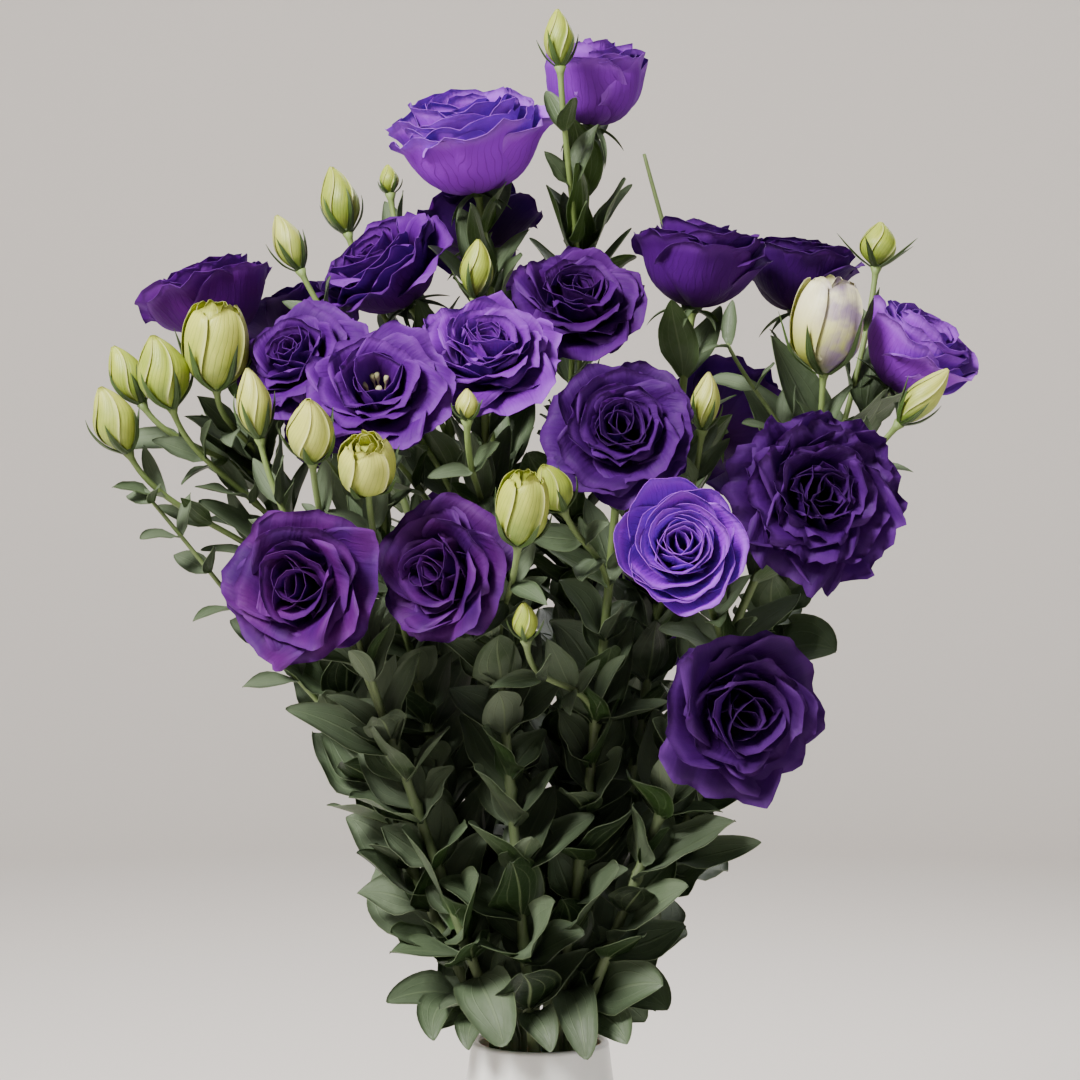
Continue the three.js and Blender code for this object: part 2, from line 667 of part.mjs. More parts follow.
const porcelain = new THREE.MeshStandardMaterial({ color: 0xf1efec, roughness: 0.35, metalness: 0 });
const clearWater = new THREE.MeshStandardMaterial({
  color: 0xdfe9ec, roughness: 0.05, metalness: 0, opacity: 0.4, transparent: true,
});
const green = new THREE.MeshStandardMaterial({ color: 0x4f6640, roughness: 0.6, metalness: 0 });
const violet = new THREE.MeshStandardMaterial({ color: 0x4a1c9c, roughness: 0.65, metalness: 0 });
const lime = new THREE.MeshStandardMaterial({ color: 0xc3cc79, roughness: 0.55, metalness: 0 });

const bunch = new THREE.Group();
bunch.name = "lisianthus_in_vase";
bunch.add(named("vase", makeVase(), porcelain));
bunch.add(named("water", makeWater(), clearWater));
growBunch().forEach((grown, index) => {
  const { stem } = grown;
  bunch.add(named(stem.name, makeStem(grown), green));
  stem.heads.forEach((head, k) => {
    const solid = isBloom(head) ? makeBloom(head, index * 17 + k) : makeBud(head);
    bunch.add(named(head.name, solid, isBloom(head) ? violet : lime));
  });
});

export default bunch;
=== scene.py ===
# A bunch of violet double lisianthus standing in a plain white vase. Metres, Z up, front towards -Y.
import json
from math import pi, sin, cos, floor, atan2

import bpy
import numpy as np
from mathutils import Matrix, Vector

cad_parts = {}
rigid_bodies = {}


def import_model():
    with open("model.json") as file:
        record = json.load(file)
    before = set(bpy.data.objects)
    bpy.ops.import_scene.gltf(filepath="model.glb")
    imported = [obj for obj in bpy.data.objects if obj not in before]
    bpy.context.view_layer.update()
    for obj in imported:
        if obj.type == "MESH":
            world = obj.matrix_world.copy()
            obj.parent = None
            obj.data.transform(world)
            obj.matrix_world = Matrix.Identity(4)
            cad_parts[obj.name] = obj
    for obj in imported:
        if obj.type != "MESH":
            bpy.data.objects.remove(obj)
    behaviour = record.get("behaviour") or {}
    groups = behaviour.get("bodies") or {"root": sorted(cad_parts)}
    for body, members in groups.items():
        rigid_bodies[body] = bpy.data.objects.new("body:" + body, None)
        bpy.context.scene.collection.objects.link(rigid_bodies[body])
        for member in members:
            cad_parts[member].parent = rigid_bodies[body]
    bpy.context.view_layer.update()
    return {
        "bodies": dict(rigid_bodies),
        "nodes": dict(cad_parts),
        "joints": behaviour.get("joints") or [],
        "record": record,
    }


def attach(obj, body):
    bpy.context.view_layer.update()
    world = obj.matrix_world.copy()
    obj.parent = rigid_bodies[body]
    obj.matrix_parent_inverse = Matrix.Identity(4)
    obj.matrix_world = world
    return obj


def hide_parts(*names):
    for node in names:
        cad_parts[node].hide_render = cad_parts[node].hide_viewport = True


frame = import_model()
print("frame loaded:", len(frame["nodes"]), "solids")


# One value in a material's tree. It takes Python's arithmetic.
class Wire:
    def __init__(self, paint, socket):
        self.paint = paint
        self.socket = socket

    def maths(self, operation, first, second=0.0):
        return self.paint.add("Math", {"operation": operation}, {0: first, 1: second})

    def __add__(self, other):
        return self.maths("ADD", self, other)

    def __radd__(self, other):
        return self.maths("ADD", other, self)

    def __sub__(self, other):
        return self.maths("SUBTRACT", self, other)

    def __rsub__(self, other):
        return self.maths("SUBTRACT", other, self)

    def __mul__(self, other):
        return self.maths("MULTIPLY", self, other)

    def __rmul__(self, other):
        return self.maths("MULTIPLY", other, self)

    def __abs__(self):
        return self.maths("ABSOLUTE", self)

    def wave(self):
        return self.maths("SINE", self)

    def larger(self, other):
        return self.maths("MAXIMUM", self, other)

    def smaller(self, other):
        return self.maths("MINIMUM", self, other)


# A material being mixed: its nodes, its noises and the marks that the meshes carry.
class Paint:
    def __init__(self, name):
        self.material = bpy.data.materials.new(name)
        self.material.use_nodes = True
        self.tree = self.material.node_tree
        self.tree.nodes.clear()

    def feed(self, socket, value):
        if isinstance(value, Wire):
            self.tree.links.new(value.socket, socket)
        else:
            socket.default_value = value

    def add(self, kind, settings=None, sockets=None, output=0):
        node = self.tree.nodes.new("ShaderNode" + kind)
        for name, value in (settings or {}).items():
            setattr(node, name, value)
        for name, value in (sockets or {}).items():
            self.feed(node.inputs[name], value)
        return Wire(self, node.outputs[output])

    def mark(self, name):
        return self.add("Attribute", {"attribute_name": name}, output="Fac")

    def place(self):
        return self.add("TexCoord", output="Object")

    def noise(self, place, scale, detail=2.0, roughness=0.5):
        sockets = {"Vector": place, "Scale": scale, "Detail": detail, "Roughness": roughness}
        return self.add("TexNoise", None, sockets)

    def cells(self, place, scale):
        return self.add("TexVoronoi", None, {"Vector": place, "Scale": scale})

    def smooth(self, value, low, high):
        settings = {"interpolation_type": "SMOOTHSTEP"}
        return self.add("MapRange", settings, {"Value": value, "From Min": low, "From Max": high})

    def blend(self, factor, first, second):
        settings = {"data_type": "RGBA", "clamp_factor": True}
        return self.add("Mix", settings, {0: factor, 6: colour(first), 7: colour(second)}, 2)

    def bump(self, height, strength, distance):
        return self.add("Bump", None, {"Height": height, "Strength": strength, "Distance": distance})

    def finish(self, shader):
        output = self.tree.nodes.new("ShaderNodeOutputMaterial")
        self.tree.links.new(shader.socket, output.inputs["Surface"])
        return self.material


def colour(value):
    return (*value, 1.0) if isinstance(value, tuple) and len(value) == 3 else value


# Small helpers for numbers, vectors and curves
def mix(a, b, t):
    return a + (b - a) * t


def draw(key):  # the same key always draws the same number between 0 and 1
    s = sin(key * 12.9898 + 4.1414) * 43758.5453
    return s - floor(s)


def unit(v):
    return v / np.linalg.norm(v, axis=-1, keepdims=True)


def smoothStep(x, low, high):
    t = np.clip((x - low) / (high - low), 0, 1)
    return t * t * (3 - 2 * t)


def sidesOf(axis):
    up = np.array((0.0, 1.0, 0.0)) if abs(axis[2]) > 0.9 else np.array((0.0, 0.0, 1.0))
    first = unit(np.cross(up, axis))
    return first, np.cross(axis, first)


class Curve:  # a cubic with its four control points
    def __init__(self, start, heading, head, pulls):
        end = baseOf(head) - head["axis"] * seatGap
        reach = np.linalg.norm(end - start)
        startPull, endPull = pulls
        self.a = start
        self.b = start + heading * reach * startPull
        self.c = end - head["axis"] * reach * endPull
        self.d = end

    def at(self, t):
        t = np.asarray(t, float)[..., None]
        r = 1 - t
        return r**3 * self.a + 3 * r**2 * t * self.b + 3 * r * t**2 * self.c + t**3 * self.d

    def heading(self, t):
        r = 1 - t
        slope = r**2 * (self.b - self.a) + 2 * r * t * (self.c - self.b) + t**2 * (self.d - self.c)
        return unit(slope)

    def length(self):
        points = self.at(np.linspace(0, 1, 201))
        return float(np.linalg.norm(np.diff(points, axis=0), axis=1).sum())


def framesAlong(points):
    frames = []
    across = None
    for k, p in enumerate(points):
        along = unit(points[min(k + 1, len(points) - 1)] - points[max(k - 1, 0)])
        if across is None:
            across = sidesOf(along)[0]
        else:
            across = unit(across - along * np.dot(across, along))
        frames.append((p, along, across, np.cross(along, across)))
    return frames


def around(frame, angle):
    return frame[2] * cos(angle) + frame[3] * sin(angle)


# The skin of one piece: sheets and tubes are added to it, with marks on every point for the shaders.
markNames = ("along", "across", "outside", "tone", "pale", "warm", "bright")


class Skin:
    def __init__(self):
        self.points = []
        self.faces = []
        self.marks = {name: [] for name in markNames}
        self.count = 0

    def addPoints(self, points, **marks):
        flat = points.reshape(-1, 3)
        self.points.append(flat)
        for name in markNames:
            value = np.broadcast_to(np.asarray(marks.get(name, 0.0), float), points.shape[:-1])
            self.marks[name].append(value.reshape(-1))
        first = self.count
        self.count += len(flat)
        return first + np.arange(len(flat)).reshape(points.shape[:-1])

    def weave(self, ids, flip=False):
        a, b, c, d = ids[:-1, :-1], ids[:-1, 1:], ids[1:, 1:], ids[1:, :-1]
        corners = (a, d, c, b) if flip else (a, b, c, d)
        self.faces.append(np.stack(corners, -1).reshape(-1, 4))

    # A blade or petal: a grid of points from root to tip, given a thickness that thins out at its edges
    def sheet(self, grid, thickness, along, across, **marks):
        normals = unit(np.cross(np.gradient(grid, axis=1), np.gradient(grid, axis=0)))
        edge = np.maximum(np.abs(across), along * np.ones_like(across))
        offset = normals * (thickness * (1 - 0.6 * smoothStep(edge, 0.75, 1.0)) / 2)[..., None]
        shape = grid.shape[:2]
        spread = {"along": np.broadcast_to(along, shape), "across": np.broadcast_to(across, shape), **marks}
        front = self.addPoints(grid + offset, outside=0.0, **spread)
        back = self.addPoints(grid - offset, outside=1.0, **spread)
        self.weave(front, flip=True)
        self.weave(back)
        ends = (front[0], back[0]), (back[-1], front[-1])
        sides = (back[:, 0], front[:, 0]), (front[:, -1], back[:, -1])
        for one, other in (*ends, *sides):
            self.weave(np.stack((one, other)), flip=True)

    # A closed tube through rings of points, each end drawn in to a point
    def tube(self, rings, starts, ends, **marks):
        ids = self.addPoints(rings, **marks)
        looped = np.concatenate((ids, ids[:, :1]), 1)
        self.weave(looped)
        for row, tip in ((0, starts), (-1, ends)):
            edge = {name: np.broadcast_to(value, rings.shape[:2])[row, :1] for name, value in marks.items()}
            centre = self.addPoints(np.asarray(tip, float)[None], **edge)[0]
            ring = looped[row]
            fan = np.stack((ring[:-1], ring[1:], np.full(len(ring) - 1, centre)), -1)
            self.faces.append(fan[:, ::-1] if row == 0 else fan)

    def build(self, name, material, slot, *nodes):
        points = np.concatenate(self.points)
        mesh = bpy.data.meshes.new(name)
        mesh.from_pydata(points.tolist(), [], [face for batch in self.faces for face in batch.tolist()])
        for mark in markNames:
            layer = mesh.attributes.new(mark, "FLOAT", "POINT")
            layer.data.foreach_set("value", np.concatenate(self.marks[mark]).astype(np.float32))
        mesh.materials.append(material)
        mesh.shade_smooth()
        piece = bpy.data.objects.new(name, mesh)
        bpy.context.scene.collection.objects.link(piece)
        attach(piece, "root")
        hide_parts(*nodes)
        return piece


# The heads of the bunch: open blooms and closed buds. The fork is how far up the stem a side branch starts.
def openBloom(number, at, facing, radius, opening, fork=None, **look):
    return {"name": f"bloom_{number:02d}", "at": np.array(at), "axis": unit(np.array(facing)),
            "radius": radius, "opening": opening, "fork": fork, "look": look}


def closedBud(number, at, facing, length, width, fork=None, **look):
    return {"name": f"bud_{number:02d}", "at": np.array(at), "axis": unit(np.array(facing)),
            "length": length, "width": width, "fork": fork, "look": look}


# Every stem: where it passes the vase's mouth, then its heads. The first head ends the stem itself.
stems = [
    ((-0.020, -0.001), [
        openBloom(1, (-0.146, 0.012, 0.541), (-0.35, 0.1, 0.93), 0.033, 0.65, bowl=0.6, magenta=0.4,
                  bright=0.2),
        closedBud(1, (-0.137, -0.045, 0.517), (0.02, -0.3, 0.95), 0.036, 0.026, 0.74, cream=0.25, blunt=1),
        closedBud(2, (-0.159, -0.050, 0.506), (-0.2, -0.35, 0.9), 0.032, 0.020, 0.62),
        closedBud(3, (-0.177, -0.030, 0.506), (-0.45, -0.1, 0.9), 0.027, 0.014, 0.7),
        closedBud(4, (-0.180, -0.045, 0.486), (-0.35, -0.3, 0.9), 0.030, 0.017, 0.55, cream=0.2),
    ]),
    ((-0.015, -0.011), [
        openBloom(2, (-0.095, -0.106, 0.417), (-0.25, -0.95, 0.08), 0.032, 1.0, magenta=0.8, simple=1,
                  dark=0.3, frill=0.8),
        closedBud(5, (-0.117, -0.080, 0.491), (-0.15, -0.2, 0.96), 0.029, 0.013, 0.62, cream=0.5),
        closedBud(6, (-0.090, -0.122, 0.478), (0.0, -0.6, 0.8), 0.029, 0.017, 0.5, cream=0.45),
    ]),
    ((-0.012, -0.001), [
        openBloom(3, (-0.102, -0.045, 0.511), (-0.4, -0.75, 0.5), 0.029, 1.0, loose=1, bright=0.1),
        openBloom(4, (-0.065, -0.092, 0.496), (-0.05, -0.85, 0.52), 0.031, 1.0, 0.6, eye=1, loose=1,
                  bright=0.15),
        closedBud(7, (-0.068, -0.122, 0.464), (0.0, -0.7, 0.7), 0.025, 0.021, 0.45, cream=0.4, blunt=1),
    ]),
    ((-0.011, 0.009), [
        openBloom(5, (-0.069, 0.008, 0.554), (-0.55, -0.4, 0.73), 0.034, 0.7, loose=1, bowl=0.4,
                  bright=0.25),
        openBloom(6, (-0.108, 0.042, 0.534), (-0.35, 0.45, 0.82), 0.030, 0.8, 0.55),
        closedBud(8, (-0.092, 0.044, 0.591), (-0.25, 0.0, 0.97), 0.031, 0.016, 0.7),
        closedBud(9, (-0.110, -0.010, 0.565), (-0.4, 0.0, 0.9), 0.026, 0.012, 0.62, cream=0.3),
    ]),
    ((-0.002, 0.007), [
        openBloom(7, (-0.031, 0.000, 0.610), (-0.15, -0.35, 0.92), 0.040, 0.6, pale=0.85, bowl=1, bright=0.3,
                  frill=1.15),
        openBloom(8, (-0.029, 0.052, 0.580), (-0.1, 0.5, 0.85), 0.031, 0.95, 0.62),
        closedBud(10, (-0.069, 0.040, 0.600), (-0.1, 0.0, 1.0), 0.013, 0.008, 0.55),
        closedBud(11, (-0.027, -0.034, 0.551), (0.05, -0.25, 0.96), 0.025, 0.013, 0.5),
    ]),
    ((0.003, 0.000), [
        openBloom(9, (0.025, 0.008, 0.638), (0.1, -0.25, 0.96), 0.033, 0.4, pale=0.5, bowl=1, closed=1),
        closedBud(12, (0.008, -0.032, 0.650), (-0.05, -0.05, 1.0), 0.024, 0.012, 0.72),
        openBloom(10, (0.017, -0.028, 0.538), (0.1, -0.75, 0.65), 0.031, 1.0, 0.4, loose=1, magenta=0.3),
    ]),
    ((-0.003, -0.017), [
        openBloom(11, (-0.022, -0.064, 0.513), (0.05, -0.7, 0.7), 0.033, 1.0, pale=0.1, bright=0.35),
        openBloom(12, (-0.039, -0.104, 0.422), (-0.5, -0.8, 0.1), 0.030, 1.0, 0.45, dark=0.5, magenta=0.5,
                  simple=1, frill=0.8),
        closedBud(13, (-0.007, -0.134, 0.447), (0.1, -0.4, 0.9), 0.029, 0.019, 0.5, cream=0.15, blunt=1),
        closedBud(14, (-0.029, -0.110, 0.489), (0.0, -0.2, 1.0), 0.012, 0.008, 0.66, cream=0.4),
    ]),
    ((0.006, -0.009), [
        openBloom(13, (0.033, -0.092, 0.479), (0.0, -0.95, 0.3), 0.033, 1.0, dark=0.2),
        closedBud(15, (0.005, -0.110, 0.456), (-0.35, -0.5, 0.75), 0.022, 0.014, 0.62),
        closedBud(16, (-0.006, -0.110, 0.403), (-0.05, -0.4, 0.9), 0.016, 0.009, 0.42),
    ]),
    ((0.012, 0.005), [
        openBloom(14, (0.071, 0.008, 0.557), (0.15, -0.1, 0.98), 0.035, 0.6, bowl=0.9, closed=0.3,
                  bright=0.1),
        closedBud(17, (0.069, -0.060, 0.493), (0.1, -0.2, 0.97), 0.024, 0.011, 0.45, cream=0.4),
    ]),
    ((0.020, 0.001), [
        openBloom(15, (0.164, -0.008, 0.516), (0.55, -0.35, 0.75), 0.032, 0.5, pale=0.75, bowl=0.8,
                  closed=0.3),
        closedBud(18, (0.123, -0.030, 0.527), (0.05, -0.15, 0.98), 0.040, 0.029, 0.66, cream=1, blunt=1,
                  blush=0.85),
        closedBud(19, (0.151, 0.014, 0.567), (0.1, 0.0, 1.0), 0.020, 0.015, 0.7, spiky=1),
        closedBud(20, (0.160, -0.060, 0.495), (0.6, -0.3, 0.7), 0.030, 0.012, 0.58, cream=0.35),
        openBloom(16, (0.120, 0.050, 0.556), (0.15, 0.1, 0.98), 0.031, 0.65, 0.6, bowl=0.7),
    ]),
    ((0.014, -0.012), [
        openBloom(17, (0.114, -0.078, 0.453), (0.2, -0.95, 0.1), 0.038, 1.0, dark=0.35, frill=1.6),
        openBloom(18, (0.055, -0.128, 0.432), (-0.05, -0.95, 0.25), 0.031, 1.0, 0.55, bright=1.25, frill=0.4,
                  incurve=1),
        openBloom(19, (0.080, -0.105, 0.366), (0.25, -0.93, -0.1), 0.033, 0.9, 0.32, dark=0.75, frill=1.2,
                  simple=1),
    ]),
    ((-0.008, 0.017), [
        openBloom(20, (-0.095, 0.095, 0.500), (-0.5, 0.8, 0.35), 0.034, 1.0),
        openBloom(21, (-0.035, 0.120, 0.430), (-0.15, 0.95, 0.15), 0.034, 1.0, 0.5, magenta=0.4),
        closedBud(21, (-0.070, 0.120, 0.480), (-0.2, 0.4, 0.88), 0.030, 0.017, 0.6),
    ]),
    ((0.009, 0.017), [
        openBloom(22, (0.090, 0.095, 0.490), (0.5, 0.8, 0.3), 0.035, 1.0, dark=0.2),
        openBloom(23, (0.010, 0.090, 0.545), (0.0, 0.6, 0.8), 0.034, 0.75, 0.6, pale=0.3),
        openBloom(24, (0.045, 0.118, 0.400), (0.2, 0.95, 0.05), 0.033, 1.0, 0.42, eye=1),
    ]),
]

seatGap = 0.0003  # between a stalk's end and the head that sits on it
bloomHeight = {"shut": 1.3, "wide": 1.05}  # in radii of the bloom


def isBloom(head):
    return "radius" in head


def heightOf(head):
    if isBloom(head):
        return head["radius"] * mix(bloomHeight["shut"], bloomHeight["wide"], head["opening"])
    return head["length"]


def baseOf(head):
    return head["at"] - head["axis"] * heightOf(head) / 2


# Camera: level, at the front, as the bunch was photographed
camera = {"distance": 1.1, "height": 0.435, "lens": 83.2, "sensor": 36.0}


def setCamera():
    data = bpy.data.cameras.new("frontView")
    data.lens = camera["lens"]
    data.sensor_width = camera["sensor"]
    view = bpy.data.objects.new("frontView", data)
    view.location = (0.0, -camera["distance"], camera["height"])
    view.rotation_euler = (pi / 2, 0.0, 0.0)
    bpy.context.scene.collection.objects.link(view)
    bpy.context.scene.camera = view


# Studio: a pale round floor that curves up all round, and soft lamps
studio = {
    "floor": (0.74, 0.70, 0.665), "flat": 2.4, "middle": 1.2, "bend": 0.9, "top": 1.8, "sides": 96,
    "sky": (0.95, 0.93, 0.92), "skyStrength": 0.12, "aim": (0.0, 0.0, 0.42),
    "lamps": [
        {"name": "keyLamp", "at": (-0.9, -1.1, 1.5), "size": 0.55, "power": 92.0,
         "colour": (1.0, 0.97, 0.93)},
        {"name": "fillLamp", "at": (1.5, -1.2, 0.7), "size": 1.2, "power": 6.0,
         "colour": (0.9, 0.94, 1.0)},
        {"name": "backLamp", "at": (0.6, 1.1, 1.4), "size": 0.8, "power": 12.0,
         "colour": (1.0, 1.0, 1.0)},
        {"name": "sweepLamp", "at": (0.0, 0.9, 2.0), "size": 1.6, "power": 38.0,
         "colour": (1.0, 0.98, 0.96), "aim": (0.0, 2.3, 0.6)},
    ],
}


def setLamps(scene):
    world = bpy.data.worlds.new("softRoom")
    world.use_nodes = True
    sky = world.node_tree.nodes["Background"]
    sky.inputs["Color"].default_value = colour(studio["sky"])
    sky.inputs["Strength"].default_value = studio["skyStrength"]
    scene.world = world
    for lamp in studio["lamps"]:
        data = bpy.data.lights.new(lamp["name"], "AREA")
        data.size = lamp["size"]
        data.energy = lamp["power"]
        data.color = lamp["colour"]
        light = bpy.data.objects.new(lamp["name"], data)
        light.location = lamp["at"]
        aim = Vector(lamp.get("aim", studio["aim"])) - light.location
        light.rotation_euler = aim.to_track_quat("-Z", "Y").to_euler()
        scene.collection.objects.link(light)


def setSweep(scene):
    flat, bend, top = studio["flat"], studio["bend"], studio["top"]
    profile = [(0.01, 0.0), (studio["middle"], 0.0)]
    profile += [(flat + bend * sin(a), bend * (1 - cos(a))) for a in np.linspace(0, pi / 2, 13)]
    profile += [(flat + bend, top)]
    rings = turned(profile, studio["sides"])
    ids = np.arange(rings[..., 0].size).reshape(rings.shape[:2])
    ids = np.concatenate((ids, ids[:, :1]), 1)
    sides = np.stack((ids[:-1, :-1], ids[:-1, 1:], ids[1:, 1:], ids[1:, :-1]), -1).reshape(-1, 4)
    mesh = bpy.data.meshes.new("paperSweep")
    mesh.from_pydata(rings.reshape(-1, 3).tolist(), [], [ids[0, :-1].tolist(), *sides.tolist()])
    mesh.shade_smooth()
    paint = Paint("paleSweep")
    mesh.materials.append(paint.finish(paint.add("BsdfDiffuse", None, {"Color": colour(studio["floor"])})))
    sweep = bpy.data.objects.new("paperSweep", mesh)
    scene.collection.objects.link(sweep)


# Vase: a smooth turned body in white porcelain, and the water in it
vase = {
    "outline": [(0.043, 0.0), (0.047, 0.006), (0.054, 0.032), (0.058, 0.068), (0.056, 0.105), (0.048, 0.140),
                (0.0385, 0.170), (0.033, 0.194), (0.0304, 0.2135)],
    "foot": [(0.036, 0.0012), (0.038, 0.0), (0.0425, 0.0), (0.0435, 0.0006)],
    "rim": 0.215, "wall": 0.004, "floor": 0.008, "rounding": 0.003, "sides": 96,
    "glaze": (0.80, 0.79, 0.77), "shade": (0.70, 0.685, 0.66), "speck": (0.55, 0.52, 0.48),
}
water = {
    "level": 0.150, "gap": 0.0006, "sides": 64, "tint": (0.86, 0.91, 0.92), "depth": (0.74, 0.84, 0.80),
    "opacity": 0.4, "refraction": 1.33,
}


def smoothOutline(points, steps):  # a uniform spline through the points, as a turner would sweep it
    points = np.array(points)
    padded = np.concatenate((points[:1], points, points[-1:]))
    rows = []
    for k in range(len(points) - 1):
        a, b, c, d = padded[k:k + 4]
        for t in np.arange(steps) / steps:
            rows.append(0.5 * (2 * b + (c - a) * t + (2 * a - 5 * b + 4 * c - d) * t**2
                               + (3 * b - a - 3 * c + d) * t**3))
    return np.array([*rows, points[-1]])


def turned(outline, sides):
    angles = np.arange(sides) * 2 * pi / sides
    radii, heights = np.array(outline).T
    x = radii[:, None] * np.cos(angles)
    y = radii[:, None] * np.sin(angles)
    return np.stack((x, y, np.broadcast_to(heights[:, None], x.shape)), -1)


def roundLip(radius, height, half):  # the half round from the outer face of the wall to the inner
    turn = np.linspace(0, pi, 9)
    return [(radius - half + cos(a) * half, height - half + sin(a) * half) for a in turn]


def innerRadius(outline, z):
    return float(np.interp(z, outline[:, 1], outline[:, 0])) - vase["wall"]


def makeVase():
    outline = smoothOutline(vase["outline"], 8)
    half = vase["wall"] / 2
    outline = outline[outline[:, 1] < vase["rim"] - half]
    top = float(np.interp(vase["rim"] - half, *np.array(vase["outline"]).T[::-1]))
    lip = roundLip(top, vase["rim"], half)
    aboveFloor = vase["floor"] + vase["rounding"]
    inside = [(r - vase["wall"], z) for r, z in outline[::-1] if z > aboveFloor + vase["rounding"]]
    corner = innerRadius(outline, aboveFloor)
    floorEdge = [(corner - vase["rounding"] * (1 - cos(a)), aboveFloor - vase["rounding"] * sin(a))
                 for a in np.linspace(0, pi / 2, 6)]
    middle = (0.02, vase["floor"])
    body = [*vase["foot"], *outline[1:], *lip, *inside, *floorEdge, middle]
    skin = Skin()
    skin.tube(turned(body, vase["sides"]), (0, 0, vase["foot"][0][1]), (0, 0, vase["floor"]))
    return skin.build("vase_body", porcelain(), "porcelain", "vase")


def porcelain():
    paint = Paint("whitePorcelain")
    place = paint.place()
    cloud = paint.noise(place, 14.0, 3.0)
    speck = paint.smooth(paint.cells(place, 900.0), 0.10, 0.02)
    tone = paint.blend(cloud * 0.7, vase["glaze"], vase["shade"])
    tone = paint.blend(speck * 0.25, tone, vase["speck"])
    ripple = paint.noise(place, 260.0, 2.0)
    bump = paint.bump(ripple, 0.12, 0.0004)
    sockets = {"Base Color": tone, "Roughness": 0.28 + cloud * 0.14, "Normal": bump,
               "Coat Weight": 0.35, "Coat Roughness": 0.12, "Subsurface Weight": 0.05}
    return paint.finish(paint.add("BsdfPrincipled", None, sockets))


def makeWater():
    outline = smoothOutline(vase["outline"], 8)
    low = vase["floor"] + vase["rounding"]
    bottom = vase["floor"] + seatGap
    levels = [z for r, z in outline if low < z < water["level"]]
    side = [(innerRadius(outline, z) - water["gap"], z) for z in [*levels, water["level"]]]
    edge = innerRadius(outline, low) - vase["rounding"] - water["gap"]
    body = [(edge * 0.5, bottom), (edge, bottom), *side, (side[-1][0] * 0.5, water["level"])]
    skin = Skin()
    skin.tube(turned(body, water["sides"]), (0, 0, bottom), (0, 0, water["level"]))
    return skin.build("vase_water", waterPaint(), "water", "water")


def waterPaint():
    paint = Paint("vaseWater")
    ripple = paint.noise(paint.place(), 60.0, 2.0)
    sockets = {"Base Color": paint.blend(ripple * 0.4, water["tint"], water["depth"]), "Roughness": 0.03,
               "Alpha": water["opacity"] + ripple * 0.02, "Normal": paint.bump(ripple, 0.1, 0.001),
               "IOR": water["refraction"]}
    return paint.finish(paint.add("BsdfPrincipled", None, sockets))


# Stalks: the paths of every stem, its side branches, and the places that leaves grow from
stalk = {
    "foot": 0.0083, "footSpread": 1.25, "fan": 26.0,
    "leader": {"radii": (0.0024, 0.0016), "sides": 4, "roundSides": 10, "pulls": (0.45, 0.2),
               "between": (0.7, 0.85)},
    "branch": {"radii": (0.0013, 0.0013), "sides": 5, "roundSides": 8, "pulls": (0.35, 0.3),
               "between": (0.3, 0.65)},
    "leafy": {"length": 0.080, "node": 0.3, "between": (0.65,)},
    "sprig": {"radii": (0.0014, 0.0008), "roundSides": 8, "pulls": (0.35, 0.3)},
    "lean": 0.6, "seat": 0.0026, "band": 0.005, "node": 0.0026, "spacing": 0.0032,
    "swelling": 0.42, "swellingLength": 0.0022,
    "leafStep": 0.024, "leafyShare": 0.56, "firstNode": 0.45,
    "skin": (0.13, 0.18, 0.07), "young": (0.18, 0.27, 0.06), "old": (0.055, 0.075, 0.03),
}


def mouthPoint(mouth):
    return np.array((*mouth, vase["rim"]))


def footPoint(mouth):
    return np.array((mouth[0] * stalk["footSpread"], mouth[1] * stalk["footSpread"], stalk["foot"]))


def stalkAlong(curve, head, kind, nodes, between, lead):
    length = curve.length()
    half = stalk["node"] / 2 / length
    swell = 1 - stalk["band"] / length
    shares = sorted([t + way * half for t in nodes for way in (-1, 1)] + [*between, 0.0, swell, 1.0])
    points = [*lead, *(curve.at(t) for t in shares)]
    bands = [len(lead) + shares.index(t - half) for t in nodes]
    return {"head": head, "curve": curve, "kind": kind, "sides": kind["sides"], "lead": lead,
            "nodes": nodes, "frames": framesAlong(points), "bands": bands, "length": length, "leaves": []}


def stalksOf(mouth, heads):
    start = mouthPoint(mouth)
    heading = unit(np.array((mouth[0] * stalk["fan"], mouth[1] * stalk["fan"], 1.0)))
    curve = Curve(start, heading, heads[0], stalk["leader"]["pulls"])
    share = stalk["leafyShare"]
    pairs = floor(curve.length() * share / stalk["leafStep"])
    nodes = [(k + stalk["firstNode"]) * share / pairs for k in range(pairs)]
    leader = stalk["leader"]
    main = stalkAlong(curve, heads[0], leader, nodes, leader["between"], [footPoint(mouth)])
    branches = []
    leafy, branch = stalk["leafy"], stalk["branch"]
    for head in heads[1:]:
        fork = curve.at(head["fork"])
        lean = stalk["lean"] * curve.heading(head["fork"]) + unit(baseOf(head) - fork)
        side = Curve(fork, unit(lean), head, branch["pulls"])
        if side.length() > leafy["length"]:
            branches.append(stalkAlong(side, head, branch, [leafy["node"]], leafy["between"], []))
        else:
            branches.append(stalkAlong(side, head, branch, [], branch["between"], []))
    return {"main": main, "branches": branches, "sprigs": []}


